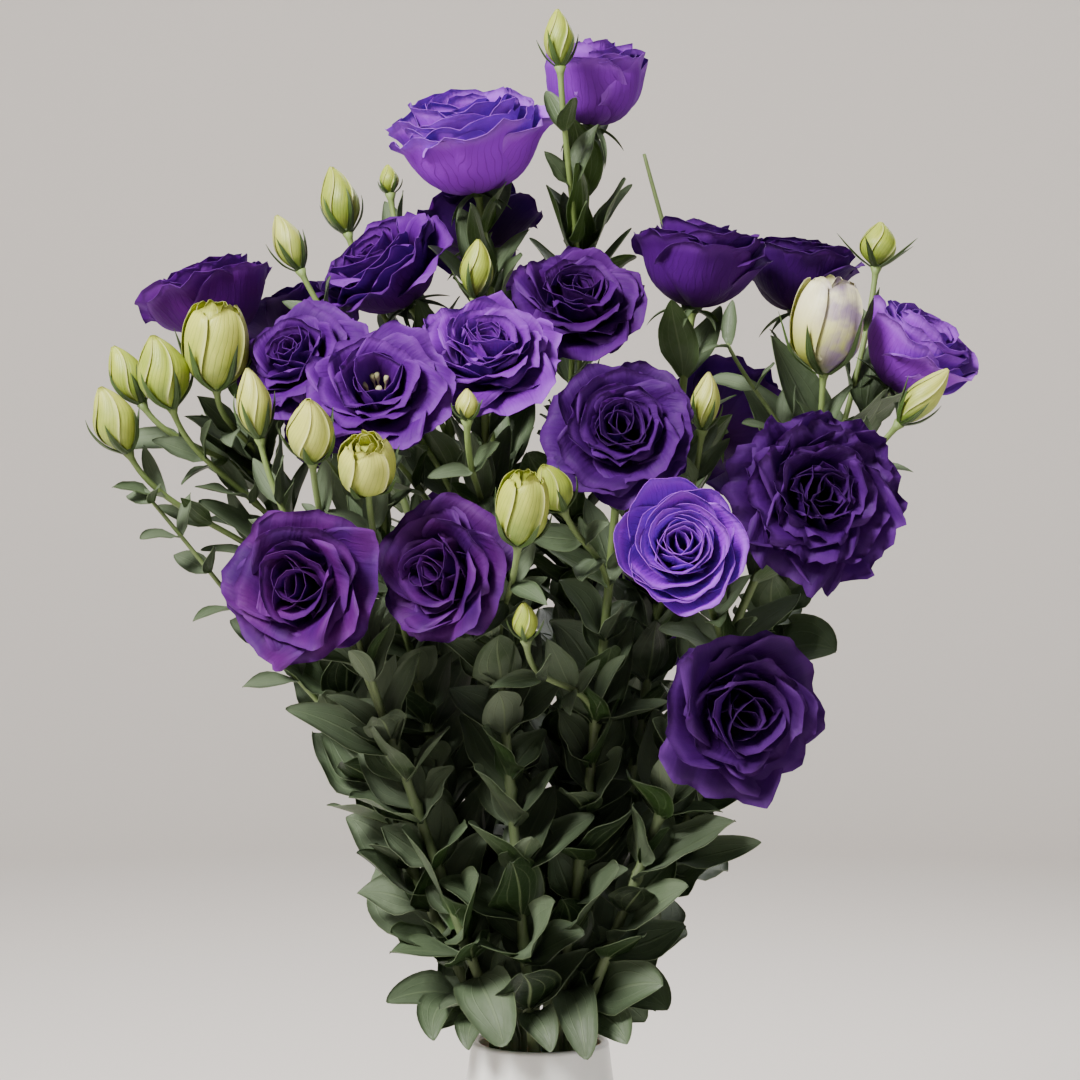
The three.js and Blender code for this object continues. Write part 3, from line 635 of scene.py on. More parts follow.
# The places that a new leaf has to stay clear of: balls with an owner
class Crowd:
    def __init__(self, room):
        self.centres = np.zeros((room, 3))
        self.radii = np.zeros(room)
        self.owners = np.zeros(room, int)
        self.firm = np.zeros(room, bool)  # heads never give way to a leaf
        self.names = {}
        self.count = 0
        self.reach = 0.095  # the farthest that a ball can be and still touch a leaf
        self.headGap = 0.0022  # what stays free between a head and a leaf

    def ownerOf(self, name):
        return self.names.setdefault(name, len(self.names) + 1)

    def add(self, name, centre, radius, firm=False):
        self.centres[self.count] = centre
        self.radii[self.count] = radius
        self.firm[self.count] = firm
        self.owners[self.count] = self.ownerOf(name)
        self.count += 1

    def clear(self, name, points, girths, gap, softness):
        own = self.ownerOf(name)
        offset = self.centres[:self.count] - points[0]
        near = (self.owners[:self.count] != own) & ((offset**2).sum(1) < self.reach**2)
        centres = self.centres[:self.count][near]
        radii = self.radii[:self.count][near]
        firm = self.firm[:self.count][near]
        apart = np.linalg.norm(centres[None] - points[:, None], axis=2)
        share = np.where(firm, 1.0, softness)
        return bool((apart > (radii + girths[:, None]) * share + np.where(firm, self.headGap, gap)).all())


crowd = Crowd(30000)


def claimHead(head):
    across, other = sidesOf(head["axis"])
    base, height = baseOf(head), heightOf(head)

    def at(up, out, turn):
        return base + head["axis"] * up * height + (across * cos(turn) + other * sin(turn)) * out

    if not isBloom(head):
        for up in (0.2, 0.45, 0.7):
            crowd.add(head["name"], at(up, 0, 0), head["width"] / 2, firm=True)
        return
    spread = head["radius"] * max(head["opening"], 0.8)
    crowd.add(head["name"], at(0.25, 0, 0), spread * 0.4, firm=True)
    crowd.add(head["name"], at(0.7, 0, 0), spread * 0.6, firm=True)
    for k in range(8):
        crowd.add(head["name"], at(0.68, spread * 0.62, k * pi / 4), spread * 0.42, firm=True)


def claimStalk(grown):
    spacing = 0.007
    points = [frame[0] for frame in grown["frames"]]
    for start, end in zip(points, points[1:]):
        count = int(np.ceil(np.linalg.norm(end - start) / spacing))
        for step in range(1, count + 1):
            crowd.add(grown["owner"], mix(start, end, step / count), stalk["leader"]["radii"][0])


# Leaves: a leaf leaves its stem at a point, at an angle round it, and arches over
leafLook = {
    "fold": (0.08, 0.26), "roll": 0.9, "light": np.array((-0.3, -0.75, 0.6)), "thickness": 0.0006,
    "rimClearance": 0.005, "rimSlope": 0.2, "smallLeaf": 0.026, "grid": (13, 7), "smallGrid": (9, 5),
    "green": (0.028, 0.066, 0.014), "bloomed": (0.135, 0.172, 0.110), "deep": (0.004, 0.011, 0.003),
    "vein": (0.16, 0.21, 0.10), "under": (0.090, 0.125, 0.072), "young": (0.085, 0.165, 0.020),
    "glow": (0.20, 0.36, 0.06),
}
# The pairs of the plain model keep well apart. The fillers between them may come closer to each other.
pair = {
    "length": (0.050, 0.035), "spread": (0.85, 1.15), "lift": (0.75, 1.25), "width": 0.31,
    "small": (0.018, 0.025), "smallLift": 0.8, "smallWidth": 0.2,
    "arch": (0.1, 0.55), "steepest": 1.3, "taper": (0.72, 0.72), "standOff": 0.0,
    "gap": 0.0022, "softness": 1.0,
}
filler = {
    "length": (0.040, 0.028), "spread": (0.8, 1.15), "lift": (0.75, 1.35), "width": 0.35, "spacing": 0.017,
    "bract": (0.044, 0.030), "bractWidth": 0.21, "bractLift": (0.95, 1.3), "bractFrom": 0.56,
    "side": (0.020, 0.032), "sideWidth": 0.17, "sideSpacing": 0.024,
    "arch": (0.1, 0.8), "steepest": 1.45, "taper": (0.6, 0.95), "standOff": 0.0008,
    "gap": -0.001, "softness": 0.8,
}
# Where a leaf is probed: across it, along it, and the ball there as a share of its width
probes = np.array([(0, v, 0.3) for v in (0.16, 0.3, 0.43, 0.57, 0.7, 0.85)] + [(0, 1, 0.1)]
                  + [(u, v, 0.14) for v in (0.28, 0.42, 0.57, 0.75) for u in (-0.8, 0.8)])
# What is tried in turn for a leaf: its size, how much steeper it stands, and how far it swings round
leafTries = [(size, more, swing) for size in (1, 0.74, 0.55) for more in (0, 0.3, -0.35, 0.55)
             for swing in (0, 0.35, -0.35, 0.7, -0.7, 1, -1)]


def leafHalfWidth(leaf, v):
    return leaf["width"] * np.abs(np.sin(pi * np.clip(v, 0.02, 1) ** 0.75)) ** leaf["taper"]


def leafSides(leaf, v):  # the directions of its width and of its upper face, turned towards the light
    end = (leaf["lift"] - leaf["arch"] * v)[..., None]
    across = unit(np.cross(leaf["along"], leaf["outward"]))
    upper = leaf["along"] * np.cos(end) - leaf["outward"] * np.sin(end)
    roll = (leaf["roll"] * smoothStep(v, 0.0, 0.45))[..., None]
    return across * np.cos(roll) + upper * np.sin(roll), upper * np.cos(roll) - across * np.sin(roll)


def rollToLight(leaf, share, limit):
    across, upper = leafSides({**leaf, "roll": 0.0}, np.array(0.5))
    best = atan2(-np.dot(across, leafLook["light"]), np.dot(upper, leafLook["light"]))
    return share * min(max(best, -limit), limit)


def leafPoints(leaf, u, v):
    steps = 6
    share = (np.arange(steps) + 0.5) / steps
    lift = leaf["lift"] - leaf["arch"] * v[..., None] * share
    step = (leaf["length"] * v / steps)[..., None]
    reach = np.cos(lift).sum(-1)[..., None] * step
    rise = np.sin(lift).sum(-1)[..., None] * step
    across, upper = leafSides(leaf, v)
    half = leafHalfWidth(leaf, v)[..., None]
    middle = leaf["root"] + leaf["outward"] * reach + leaf["along"] * rise
    return middle + across * u[..., None] * half + upper * np.abs(u)[..., None] * half * leaf["fold"]


def leafFits(leaf, kind):
    points = leafPoints(leaf, probes[:, 0], probes[:, 1])
    offAxis = np.hypot(points[:, 0], points[:, 1])
    height = points[:, 2]
    rimRadius = vase["outline"][-1][0]
    over = offAxis < rimRadius + leafLook["rimClearance"] + (vase["rim"] - height) * leafLook["rimSlope"]
    if ((height < vase["rim"] + leafLook["rimClearance"]) & over).any():
        return False
    return crowd.clear(leaf["owner"], points, leaf["width"] * probes[:, 2], kind["gap"], kind["softness"])


def claimLeaf(leaf):
    for point, girth in zip(leafPoints(leaf, probes[:, 0], probes[:, 1]), probes[:, 2]):
        crowd.add(leaf["owner"] + "_leaf", point, leaf["width"] * girth)


def nodeSeat(grown, band, side):  # the middle of a leaf node, and the turn to one of its faces
    frame = grown["frames"][band]
    middle = (frame[0] + grown["frames"][band + 1][0]) / 2
    return (middle, *frame[1:]), 2 * pi * (side + 0.5) / grown["sides"]


def freeSeat(grown, t):
    along = grown["curve"].heading(t)
    return (grown["curve"].at(t), along, *sidesOf(along))


def growLeaf(grown, seat, turn, length, lift, width, key, kind):
    for size, more, swing in leafTries:
        outward = around(seat, turn + swing)
        leaf = {
            "owner": grown["owner"], "root": seat[0] + outward * kind["standOff"], "along": seat[1],
            "outward": outward, "length": length * size, "width": length * size * width,
            "lift": min(lift + more, kind["steepest"]), "arch": mix(*kind["arch"], draw(key)),
            "fold": mix(*leafLook["fold"], draw(key + 0.5)), "taper": mix(*kind["taper"], draw(key + 7)),
            "key": key,
        }
        leaf["roll"] = rollToLight(leaf, draw(key + 2), leafLook["roll"])
        if leafFits(leaf, kind):
            claimLeaf(leaf)
            grown["leaves"].append(leaf)
            return


# Leaves that give the bunch its outline: the stem's number, the height of the root on it, and the tip
def outerLeaf(stem, height, tip, width, arch, taper=0.68):
    return {"stem": stem, "height": height, "tip": tip, "width": width, "arch": arch, "taper": taper}


outer = [
    outerLeaf(1, 0.247, (-0.064, -0.030, 0.268), 0.011, 0.5),
    outerLeaf(1, 0.233, (-0.066, -0.022, 0.236), 0.010, 0.9),
    outerLeaf(11, 0.233, (0.052, -0.034, 0.246), 0.015, 0.9),
    outerLeaf(10, 0.290, (0.096, -0.012, 0.304), 0.009, 0.3),
    outerLeaf(1, 0.272, (-0.078, -0.028, 0.300), 0.012, 0.4),
    outerLeaf(2, 0.342, (-0.106, -0.056, 0.364), 0.009, 0.3),
    outerLeaf(1, 0.362, (-0.118, -0.016, 0.384), 0.011, 0.5),
    outerLeaf(1, 0.395, (-0.134, -0.020, 0.420), 0.011, 0.4),
    outerLeaf(1, 0.418, (-0.146, -0.030, 0.452), 0.011, 0.4),
    outerLeaf(1, 0.445, (-0.112, -0.026, 0.486), 0.011, 0.3),
    outerLeaf(1, 0.462, (-0.152, -0.028, 0.488), 0.009, 0.5),
    outerLeaf(3, 0.405, (-0.102, -0.062, 0.440), 0.012, 0.4),
    outerLeaf(3, 0.435, (-0.086, -0.066, 0.470), 0.011, 0.3),
    outerLeaf(7, 0.425, (-0.036, -0.076, 0.458), 0.011, 0.5),
    outerLeaf(6, 0.440, (-0.004, -0.044, 0.472), 0.012, 0.4),
    outerLeaf(9, 0.430, (0.074, -0.040, 0.468), 0.011, 0.3),
    outerLeaf(10, 0.450, (0.086, -0.012, 0.506), 0.012, 0.2),
    outerLeaf(10, 0.465, (0.101, -0.016, 0.524), 0.012, 0.2),
    outerLeaf(10, 0.480, (0.150, -0.026, 0.500), 0.010, 0.4),
    outerLeaf(6, 0.548, (0.003, -0.008, 0.590), 0.010, 0.3),
    outerLeaf(6, 0.552, (0.037, -0.004, 0.594), 0.008, 0.3),
    outerLeaf(6, 0.560, (0.016, -0.018, 0.598), 0.009, 0.2),
    outerLeaf(10, 0.380, (0.128, -0.012, 0.386), 0.017, 0.9),
    outerLeaf(10, 0.398, (0.122, 0.010, 0.424), 0.013, 0.5),
    outerLeaf(2, 0.246, (-0.016, -0.050, 0.222), 0.0125, 1.6, 0.5),
    outerLeaf(8, 0.239, (0.020, -0.047, 0.216), 0.0095, 1.8, 0.5),
    outerLeaf(2, 0.262, (-0.026, -0.066, 0.297), 0.015, 0.3),
    outerLeaf(2, 0.268, (-0.058, -0.048, 0.315), 0.014, 0.4),
    outerLeaf(1, 0.236, (-0.044, -0.036, 0.222), 0.010, 1.4),
    outerLeaf(10, 0.238, (0.056, -0.016, 0.232), 0.012, 1.2),
    outerLeaf(7, 0.255, (0.006, -0.068, 0.287), 0.013, 0.5),
    outerLeaf(8, 0.262, (0.033, -0.064, 0.300), 0.013, 0.4),
    outerLeaf(11, 0.262, (0.062, -0.052, 0.290), 0.012, 0.5),
    outerLeaf(7, 0.231, (0.004, -0.046, 0.219), 0.008, 1.6),
    outerLeaf(11, 0.229, (0.037, -0.038, 0.221), 0.010, 1.4),
    outerLeaf(2, 0.230, (-0.029, -0.041, 0.219), 0.008, 1.5),
    outerLeaf(5, 0.532, (-0.048, -0.018, 0.562), 0.008, 0.5),
    outerLeaf(5, 0.536, (-0.008, -0.016, 0.560), 0.008, 0.5),
    outerLeaf(5, 0.548, (-0.030, -0.026, 0.580), 0.007, 0.3),
    outerLeaf(1, 0.450, (-0.146, -0.020, 0.480), 0.012, 0.5),
    outerLeaf(1, 0.470, (-0.124, -0.032, 0.506), 0.010, 0.3),
    outerLeaf(12, 0.236, (-0.022, 0.047, 0.228), 0.011, 1.5),
    outerLeaf(12, 0.231, (-0.006, 0.046, 0.220), 0.009, 1.6),
    outerLeaf(13, 0.234, (0.018, 0.046, 0.223), 0.011, 1.6),
    outerLeaf(13, 0.240, (0.036, 0.036, 0.236), 0.010, 1.3),
    outerLeaf(4, 0.234, (-0.040, 0.026, 0.226), 0.010, 1.5),
    outerLeaf(10, 0.231, (0.046, 0.006, 0.222), 0.009, 1.5),
    outerLeaf(1, 0.229, (-0.046, -0.010, 0.220), 0.009, 1.4),
]

# Thin side shoots in the scene alone: where they start, where they head for at first, and their tip
sprigs = [
    {"stem": 1, "height": 0.343, "aim": (-0.70, -0.10, 0.70), "tip": (-0.165, -0.042, 0.452),
     "pairs": 7, "size": 0.024, "width": 0.25},
    {"stem": 9, "height": 0.528, "aim": (-0.2, 0.0, 1.0), "tip": (0.046, 0.004, 0.606), "pairs": 0},
    {"stem": 10, "height": 0.440, "aim": (0.1, -0.3, 1.0), "tip": (0.080, -0.034, 0.519),
     "pairs": 4, "size": 0.026, "width": 0.18},
]


def shareAt(curve, height):
    shares = np.linspace(0, 1, 400)
    return float(np.interp(height, curve.at(shares)[:, 2], shares))


def growSprigs(bunch):
    for order, wish in enumerate(sprigs):
        grown = bunch[wish["stem"] - 1]
        root = grown["main"]["curve"].at(shareAt(grown["main"]["curve"], wish["height"]))
        tip = np.array(wish["tip"])
        end = {"at": tip, "axis": unit(tip - root), "length": 0.0}
        curve = Curve(root, unit(np.array(wish["aim"])), end, stalk["sprig"]["pulls"])
        shoot = {"owner": grown["name"], "curve": curve, "leaves": []}
        grown["sprigs"].append(shoot)
        for k in range(wish["pairs"]):
            for side in range(2):
                key = 8000 + order * 71 + k * 9 + side * 4
                size = wish["size"] * mix(1.15, 0.65, k / wish["pairs"])
                lift = mix(*filler["bractLift"], draw(key + 2)) - 0.3
                seat = freeSeat(shoot, (k + 0.95) / wish["pairs"])
                growLeaf(shoot, seat, 1.6 * k + side * pi, size, lift, wish["width"], key, filler)


def growOuter(bunch):
    for order, wish in enumerate(outer):
        main = bunch[wish["stem"] - 1]["main"]
        t = shareAt(main["curve"], wish["height"])
        root, along = main["curve"].at(t), main["curve"].heading(t)
        aim = np.array(wish["tip"]) - root
        outward = unit(aim - along * np.dot(aim, along))
        rise = atan2(np.dot(aim, along), np.dot(aim, outward))
        arch = wish["arch"]
        leaf = {
            "owner": main["owner"], "root": root + outward * filler["standOff"], "along": along,
            "outward": outward, "length": float(np.linalg.norm(aim)) * (arch / 2) / sin(arch / 2),
            "width": wish["width"], "lift": rise + arch / 2, "arch": arch, "fold": 0.2,
            "taper": wish["taper"], "key": 7000 + order * 13,
        }
        leaf["roll"] = rollToLight(leaf, 1.0, 1.1)
        claimLeaf(leaf)
        main["leaves"].append(leaf)


# The leaves that the plain model has too: opposite pairs up each stem, one leaf on each long branch
def growPairs(bunch):
    for i, grown in enumerate(bunch):
        main = grown["main"]
        for k, band in enumerate(main["bands"]):
            for side in (k % 2, k % 2 + 2):
                key = i * 97 + k * 7 + side * 3
                length = mix(*pair["length"], k / len(main["bands"])) * mix(*pair["spread"], draw(key + 0.2))
                lift = mix(*pair["lift"], draw(key + 0.7))
                growLeaf(main, *nodeSeat(main, band, side), length, lift, pair["width"], key, pair)
    for i, grown in enumerate(bunch):
        leafy = [each for each in grown["branches"] if each["bands"]]
        for b, each in enumerate(leafy):
            key = i * 53 + b * 11 + 1000
            seat, turn = nodeSeat(each, each["bands"][0], b % 5)
            length = mix(*pair["small"], draw(key))
            growLeaf(each, seat, turn, length, pair["smallLift"], pair["smallWidth"], key, pair)


# More foliage than the plain model holds: leaves between the pairs, and slim upright ones near the heads
def fillMain(main, i):
    count = int(main["length"] / filler["spacing"])
    for k in range(count):
        t = (k + 0.9) / (count + 0.6)
        upper = t > filler["bractFrom"]
        if upper and k % 2:
            continue
        for side in range(2 if upper else 3):
            key = 5000 + i * 311 + k * 17 + side * 5
            turn = 2.4 * k + side * (pi if upper else 2.1) + draw(key)
            if upper:
                size = mix(*filler["bract"], draw(key + 1))
                lift, width = mix(*filler["bractLift"], draw(key + 2)), filler["bractWidth"]
            else:
                size = mix(*filler["length"], t / filler["bractFrom"])
                size *= mix(*filler["spread"], draw(key + 1))
                lift, width = mix(*filler["lift"], draw(key + 2)), filler["width"]
            growLeaf(main, freeSeat(main, t), turn, size, lift, width, key, filler)


def fillBranch(each, i, b):
    count = max(int(each["length"] / filler["sideSpacing"]), 1)
    for k in range(count):
        for side in range(2):
            key = 9000 + i * 173 + b * 37 + k * 7 + side * 3
            size = mix(*filler["side"], draw(key + 1)) * mix(1.25, 0.8, k / count)
            lift = mix(*filler["bractLift"], draw(key + 2))
            turn = 1.6 * k + side * pi + draw(key) * 0.6
            width = filler["sideWidth"] * mix(0.8, 1.4, draw(key + 3))
            growLeaf(each, freeSeat(each, (k + 0.15) / (count + 0.3)), turn, size, lift, width, key, filler)


def growBunch():
    bunch = [stalksOf(*stem) for stem in stems]
    for number, (grown, (mouth, heads)) in enumerate(zip(bunch, stems), 1):
        grown["name"] = f"stem_{number:02d}"
        for each in (grown["main"], *grown["branches"]):
            each["owner"] = grown["name"]
            claimStalk(each)
        for head in heads:
            claimHead(head)
    growOuter(bunch)
    growSprigs(bunch)
    growPairs(bunch)
    for i, grown in enumerate(bunch):
        fillMain(grown["main"], i)
        for b, each in enumerate(grown["branches"]):
            fillBranch(each, i, b)
    return bunch


def addLeaf(skin, leaf):
    key = leaf["key"]
    rows, columns = leafLook["grid"] if leaf["length"] > leafLook["smallLeaf"] else leafLook["smallGrid"]
    lengthwise = 1 - np.linspace(1, 0.02, rows) ** 1.45  # closer rows towards the tip
    v, u = np.meshgrid(lengthwise, np.linspace(-1, 1, columns), indexing="ij")
    across, upper = leafSides(leaf, v)
    half = leaf["width"]
    waves = np.sin(2 * pi * (mix(1.2, 2.4, draw(key + 3)) * v + draw(key + 4)) + u * 1.2)
    ruffle = waves * np.abs(u) ** 1.6 * half * mix(0.03, 0.11, draw(key + 5))
    hollow = -(1 - np.abs(u) ** 2) * np.sin(pi * v) * half * 0.10
    sway = np.sin(pi * v * 0.9) * v * half * mix(-0.35, 0.35, draw(key + 6))
    grid = leafPoints(leaf, u, v) + upper * (ruffle + hollow)[..., None] + across * sway[..., None]
    middle = leafPoints(leaf, np.array([0.0]), np.array([0.5]))[0]
    paintedLitShare = mix(0.3, 1.0, smoothStep(np.hypot(middle[0], middle[1]), 0.012, 0.060))  # painted shade: leaves near the middle of the bunch keep less of their tone and wax, so they look darker
    # The warm mark grows with the root's height. It is partly young growth and partly painted shade that
    # keeps the low leaves darker.
    skin.sheet(grid, leafLook["thickness"], v, u, tone=draw(key + 8) * paintedLitShare, pale=draw(key + 9) * paintedLitShare,
               warm=float(np.clip((leaf["root"][2] - 0.36) / 0.2, 0, 1)))


def leafPaint():
    paint = Paint("leafGreen")
    along, across, under = paint.mark("along"), paint.mark("across"), paint.mark("outside")
    tone, pale, young = paint.mark("tone"), paint.mark("pale"), paint.mark("warm")
    place = paint.place()
    side = abs(across)
    cloud = paint.noise(place, 55.0, 2.0)
    fine = paint.noise(place, 300.0, 1.0)
    # Painted shade: on leaves near the middle of the bunch the tone and pale marks are lowered, which turns
    # them deep green with less wax.
    wax = paint.smooth(cloud * 1.2 + pale * 1.2 + fine * 0.25, 1.0, 1.8)
    base = paint.blend(tone * 0.9 + (fine - 0.5) * 0.3, leafLook["deep"], leafLook["green"])
    # Lighter yellow-green the higher a leaf is rooted: partly young growth, partly painted shade on the low
    # foliage.
    base = paint.blend(young * (0.35 + tone * 0.4), base, leafLook["young"])
    base = paint.blend(wax * (0.85 - young * 0.35), base, leafLook["bloomed"])
    midrib = paint.smooth(side, 0.075, 0.02)
    bow = along * (1 - along) * 4
    lateral = paint.smooth(abs(side - bow * 0.42 - 0.04), 0.035, 0.0)
    outer = paint.smooth(abs(side - bow * 0.74 - 0.04), 0.03, 0.0)
    twigs = paint.smooth(abs((along * 34 - side * 9).wave()), 0.16, 0.0) * (1 - midrib)
    veins = (midrib + lateral * 0.55 + outer * 0.35 + twigs * 0.18).smaller(1.0)
    base = paint.blend(veins * 0.65, base, leafLook["vein"])
    base = paint.blend(under * 0.7, base, leafLook["under"])
    rim = paint.smooth(side, 0.93, 1.0)
    base = paint.blend(rim * 0.35, base, leafLook["vein"])
    bump = paint.bump(fine * 0.9 - veins * 0.8, 0.5, 0.0006)
    sockets = {"Base Color": base, "Roughness": 0.46 + wax * 0.18 + under * 0.1, "Normal": bump,
               "Specular IOR Level": 0.45}
    skin = paint.add("BsdfPrincipled", None, sockets)
    glow = paint.add("BsdfTranslucent", None, {"Color": colour(leafLook["glow"])})
    return paint.finish(paint.add("MixShader", None, {0: 0.12, 1: skin, 2: glow}))


def stalkPaint():
    paint = Paint("stalkGreen")
    along, tone, young = paint.mark("along"), paint.mark("tone"), paint.mark("warm")
    place = paint.place()
    fine = paint.noise(place, 500.0, 1.0)
    drawnOut = paint.add("Mapping", None, {"Vector": place, "Scale": (1.0, 1.0, 0.06)})
    streak = paint.noise(drawnOut, 900.0, 2.0)
    base = paint.blend(streak, stalk["old"], stalk["skin"])
    base = paint.blend(young * 0.8, base, stalk["young"])
    base = paint.blend(paint.smooth(fine, 0.55, 0.8) * 0.25, base, leafLook["bloomed"])
    base = paint.blend(tone * 0.25, base, leafLook["vein"])
    bump = paint.bump(streak * 0.7 + fine * 0.3, 0.3, 0.0005)
    sockets = {"Base Color": base, "Roughness": 0.5 + fine * 0.2, "Normal": bump}
    return paint.finish(paint.add("BsdfPrincipled", None, sockets))


def addTube(skin, points, radii, sides, **marks):
    frames = framesAlong(points)
    turn = np.arange(sides) * 2 * pi / sides
    rings = np.array([p + r * (np.cos(turn)[:, None] * across + np.sin(turn)[:, None] * other)
                      for (p, along, across, other), r in zip(frames, radii)])
    spread = {name: (np.asarray(value)[:, None] if np.ndim(value) == 1 else value)
              for name, value in marks.items()}
    skin.tube(rings, points[0] - frames[0][1] * radii[0] * 0.2, points[-1] + frames[-1][1] * radii[-1] * 0.3,
              **spread)


def addStalk(skin, grown):
    length, kind = grown["length"], grown["kind"]
    thick, thin = kind["radii"]
    t = np.linspace(0, 1, max(int(length / stalk["spacing"]), 8))
    points = grown["curve"].at(t)
    radii = mix(thick, thin, t)
    for node in grown["nodes"]:
        away = (t - node) * length / stalk["swellingLength"]
        radii = radii + thick * stalk["swelling"] * np.exp(-away**2)
    left = (1 - t) * length
    radii = mix(radii, stalk["seat"] * 1.05, np.exp(-(left / stalk["seat"]) ** 2))
    for foot in grown["lead"]:
        lead = [mix(foot, points[0], s) for s in np.linspace(0, 1, 12)[:-1]]
        points = np.concatenate((lead, points))
        radii = np.concatenate((np.full(len(lead), thick), radii))
    young = np.clip((points[:, 2] - 0.34) / 0.16, 0, 1)
    addTube(skin, points, radii, kind["roundSides"], along=np.linspace(0, 1, len(points)),
            tone=draw(len(points) * 3.1), warm=young)


def addSprig(skin, sprig):
    shares = np.linspace(0, 1, 24)
    radii = mix(*stalk["sprig"]["radii"], shares)
    addTube(skin, sprig["curve"].at(shares), radii, stalk["sprig"]["roundSides"], along=shares, tone=0.2,
            warm=0.4)


# Sepals: five narrow points round the seat of each head. They spread under a bloom and hug a bud.
sepal = {
    "count": 5, "rows": 13, "columns": 5, "width": 0.0018, "thickness": 0.0005, "keel": 0.55,
    "hug": 0.0012, "share": (0.5, 0.72), "flare": 0.0045, "spike": 0.009, "budWidth": 0.017,
    "seat": (0.0028, -0.0004), "openLength": (0.014, 0.021), "openLift": (-0.5, 0.35),
    "cup": {"radii": (0.0024, 0.0036, 0.0042, 0.0036), "up": (-0.0012, 0.0, 0.0016, 0.0032),
            "foot": 0.0014, "top": 0.0036},
}


def addSepals(skin, head, key):
    base, axis = baseOf(head), head["axis"]
    across, other = sidesOf(axis)
    u = np.linspace(-1, 1, sepal["columns"])[None, :]
    t = np.linspace(0, 1, sepal["rows"])[:, None]
    scale = 1.0 if isBloom(head) else min(head["width"] / sepal["budWidth"], 1.25) ** 0.7
    half = sepal["width"] * scale * (np.sin(pi * (0.22 + 0.78 * t)) ** 0.8 * (1 - 0.45 * t) + 0.06 * (1 - t))
    for k in range(sepal["count"]):
        turn = 2 * pi * (k + 0.5 * draw(key)) / sepal["count"] + 0.25 * draw(key + k)
        radial = across * cos(turn) + other * sin(turn)
        sideways = other * cos(turn) - across * sin(turn)
        if isBloom(head):
            length = mix(*sepal["openLength"], draw(key + k * 1.7))
            lift = mix(*sepal["openLift"], draw(key + k * 2.3))
            bend = lift - 0.9 * t * (0.4 + draw(key + k * 3.1))
            step = length / (sepal["rows"] - 1)
            out = sepal["seat"][0] + np.concatenate(([[0.0]], np.cumsum(np.cos(bend[1:]) * step, 0)))
            up = sepal["seat"][1] + np.concatenate(([[0.0]], np.cumsum(np.sin(bend[1:]) * step, 0)))
            raised = radial * np.sin(bend)[..., None] - axis * np.cos(bend)[..., None]
        else:
            v = t * mix(*sepal["share"], draw(key + k * 1.7))
            flare = sepal["flare"] * draw(key + k * 2.9) * t**3
            flare = flare + sepal["spike"] * head["look"].get("spiky", 0) * t**2
            out = budGirth(head, v) * 1.1 + sepal["hug"] + flare - 0.0012 * (1 - t) ** 4
            up = v * head["length"] - 0.0008
            raised = radial * np.ones_like(t)[..., None]
        line = base + radial * out[..., None] + axis * up[..., None]
        keel = (np.abs(u) * half * sepal["keel"])[..., None] * raised
        grid = line + sideways * (u * half)[..., None] - keel
        skin.sheet(grid, sepal["thickness"], t * np.ones_like(u), u * np.ones_like(t),
                   tone=draw(key + k), pale=0.25, warm=0.75)
    rings = turned(list(zip(sepal["cup"]["radii"], sepal["cup"]["up"])), 16)
    scale = 1.0 if isBloom(head) else min(head["width"] / sepal["budWidth"], 1.0) * 0.8
    cup = base + scale * (rings[..., :1] * across + rings[..., 1:2] * other + rings[..., 2:] * axis)
    foot, top = base - axis * sepal["cup"]["foot"], base + axis * sepal["cup"]["top"] * scale
    skin.tube(cup, foot, top, along=0.2, across=0.5, pale=0.2, warm=0.7)


# Blooms: petals in rings, from a wide open outer ring to a rolled heart
petal = {
    "cups": [
        {"reach": 1.0, "seat": (0.0036, 0.0015), "shut": (72, -4, 4), "wide": (78, 44, 76)},
        {"reach": 0.8, "seat": (0.0030, 0.0048), "shut": (52, -8, -14), "wide": (56, 12, 44)},
        {"reach": 0.66, "seat": (0.0024, 0.0080), "shut": (22, -6, -6), "wide": (26, -4, 2)},
        {"reach": 0.54, "seat": (0.0010, 0.0090), "shut": (8, -4, -8), "wide": (10, -2, -4)},
    ],
    "bowls": [
        {"stretch": 1.22, "bends": (90, 36, 10)},
        {"stretch": 1.12, "bends": (70, 22, 12)},
        {"stretch": 0.92, "bends": (36, 8, 4)},
        {"stretch": 0.80, "bends": (10, 2, -2)},
    ],
    "closing": (0, 16, 30), "incurving": (0, 10, 54),
    "shutStretch": 1.35,
    "full": [(0.0, 6), (0.5, 5), (1.0, 5), (1.5, 4), (1.95, 3), (2.6, 2)],
    "loose": [(0.0, 5), (0.45, 5), (1.0, 4), (1.6, 3), (2.1, 3), (2.7, 2)],
    "simple": [(0.0, 5), (0.5, 4), (1.15, 3), (1.9, 3), (2.6, 2)],
    "halfWidths": (0.64, 0.56, 0.48, 0.32), "shoulders": (0.36, 0.44), "narrowest": 0.0018,
    "rows": 13, "columns": 13, "wideColumns": 19, "moreColumns": 8, "thickness": 0.00045,
    "deep": (0.0090, 0.0001, 0.026), "violet": (0.044, 0.0002, 0.118), "bright": (0.42, 0.012, 0.92),
    # the throat colour is partly the bloom's own darker heart and partly painted shade deep in the bloom
    "lavender": (0.50, 0.15, 0.90), "magenta": (0.080, 0.0001, 0.088), "heart": (0.026, 0.0001, 0.034),
    "back": (0.10, 0.008, 0.23), "glow": (0.22, 0.001, 0.46), "pollen": (0.62, 0.60, 0.30),
}
eye = {"stamens": 6, "foot": 0.006, "height": 0.42, "thin": 0.0004, "anther": 0.0011}


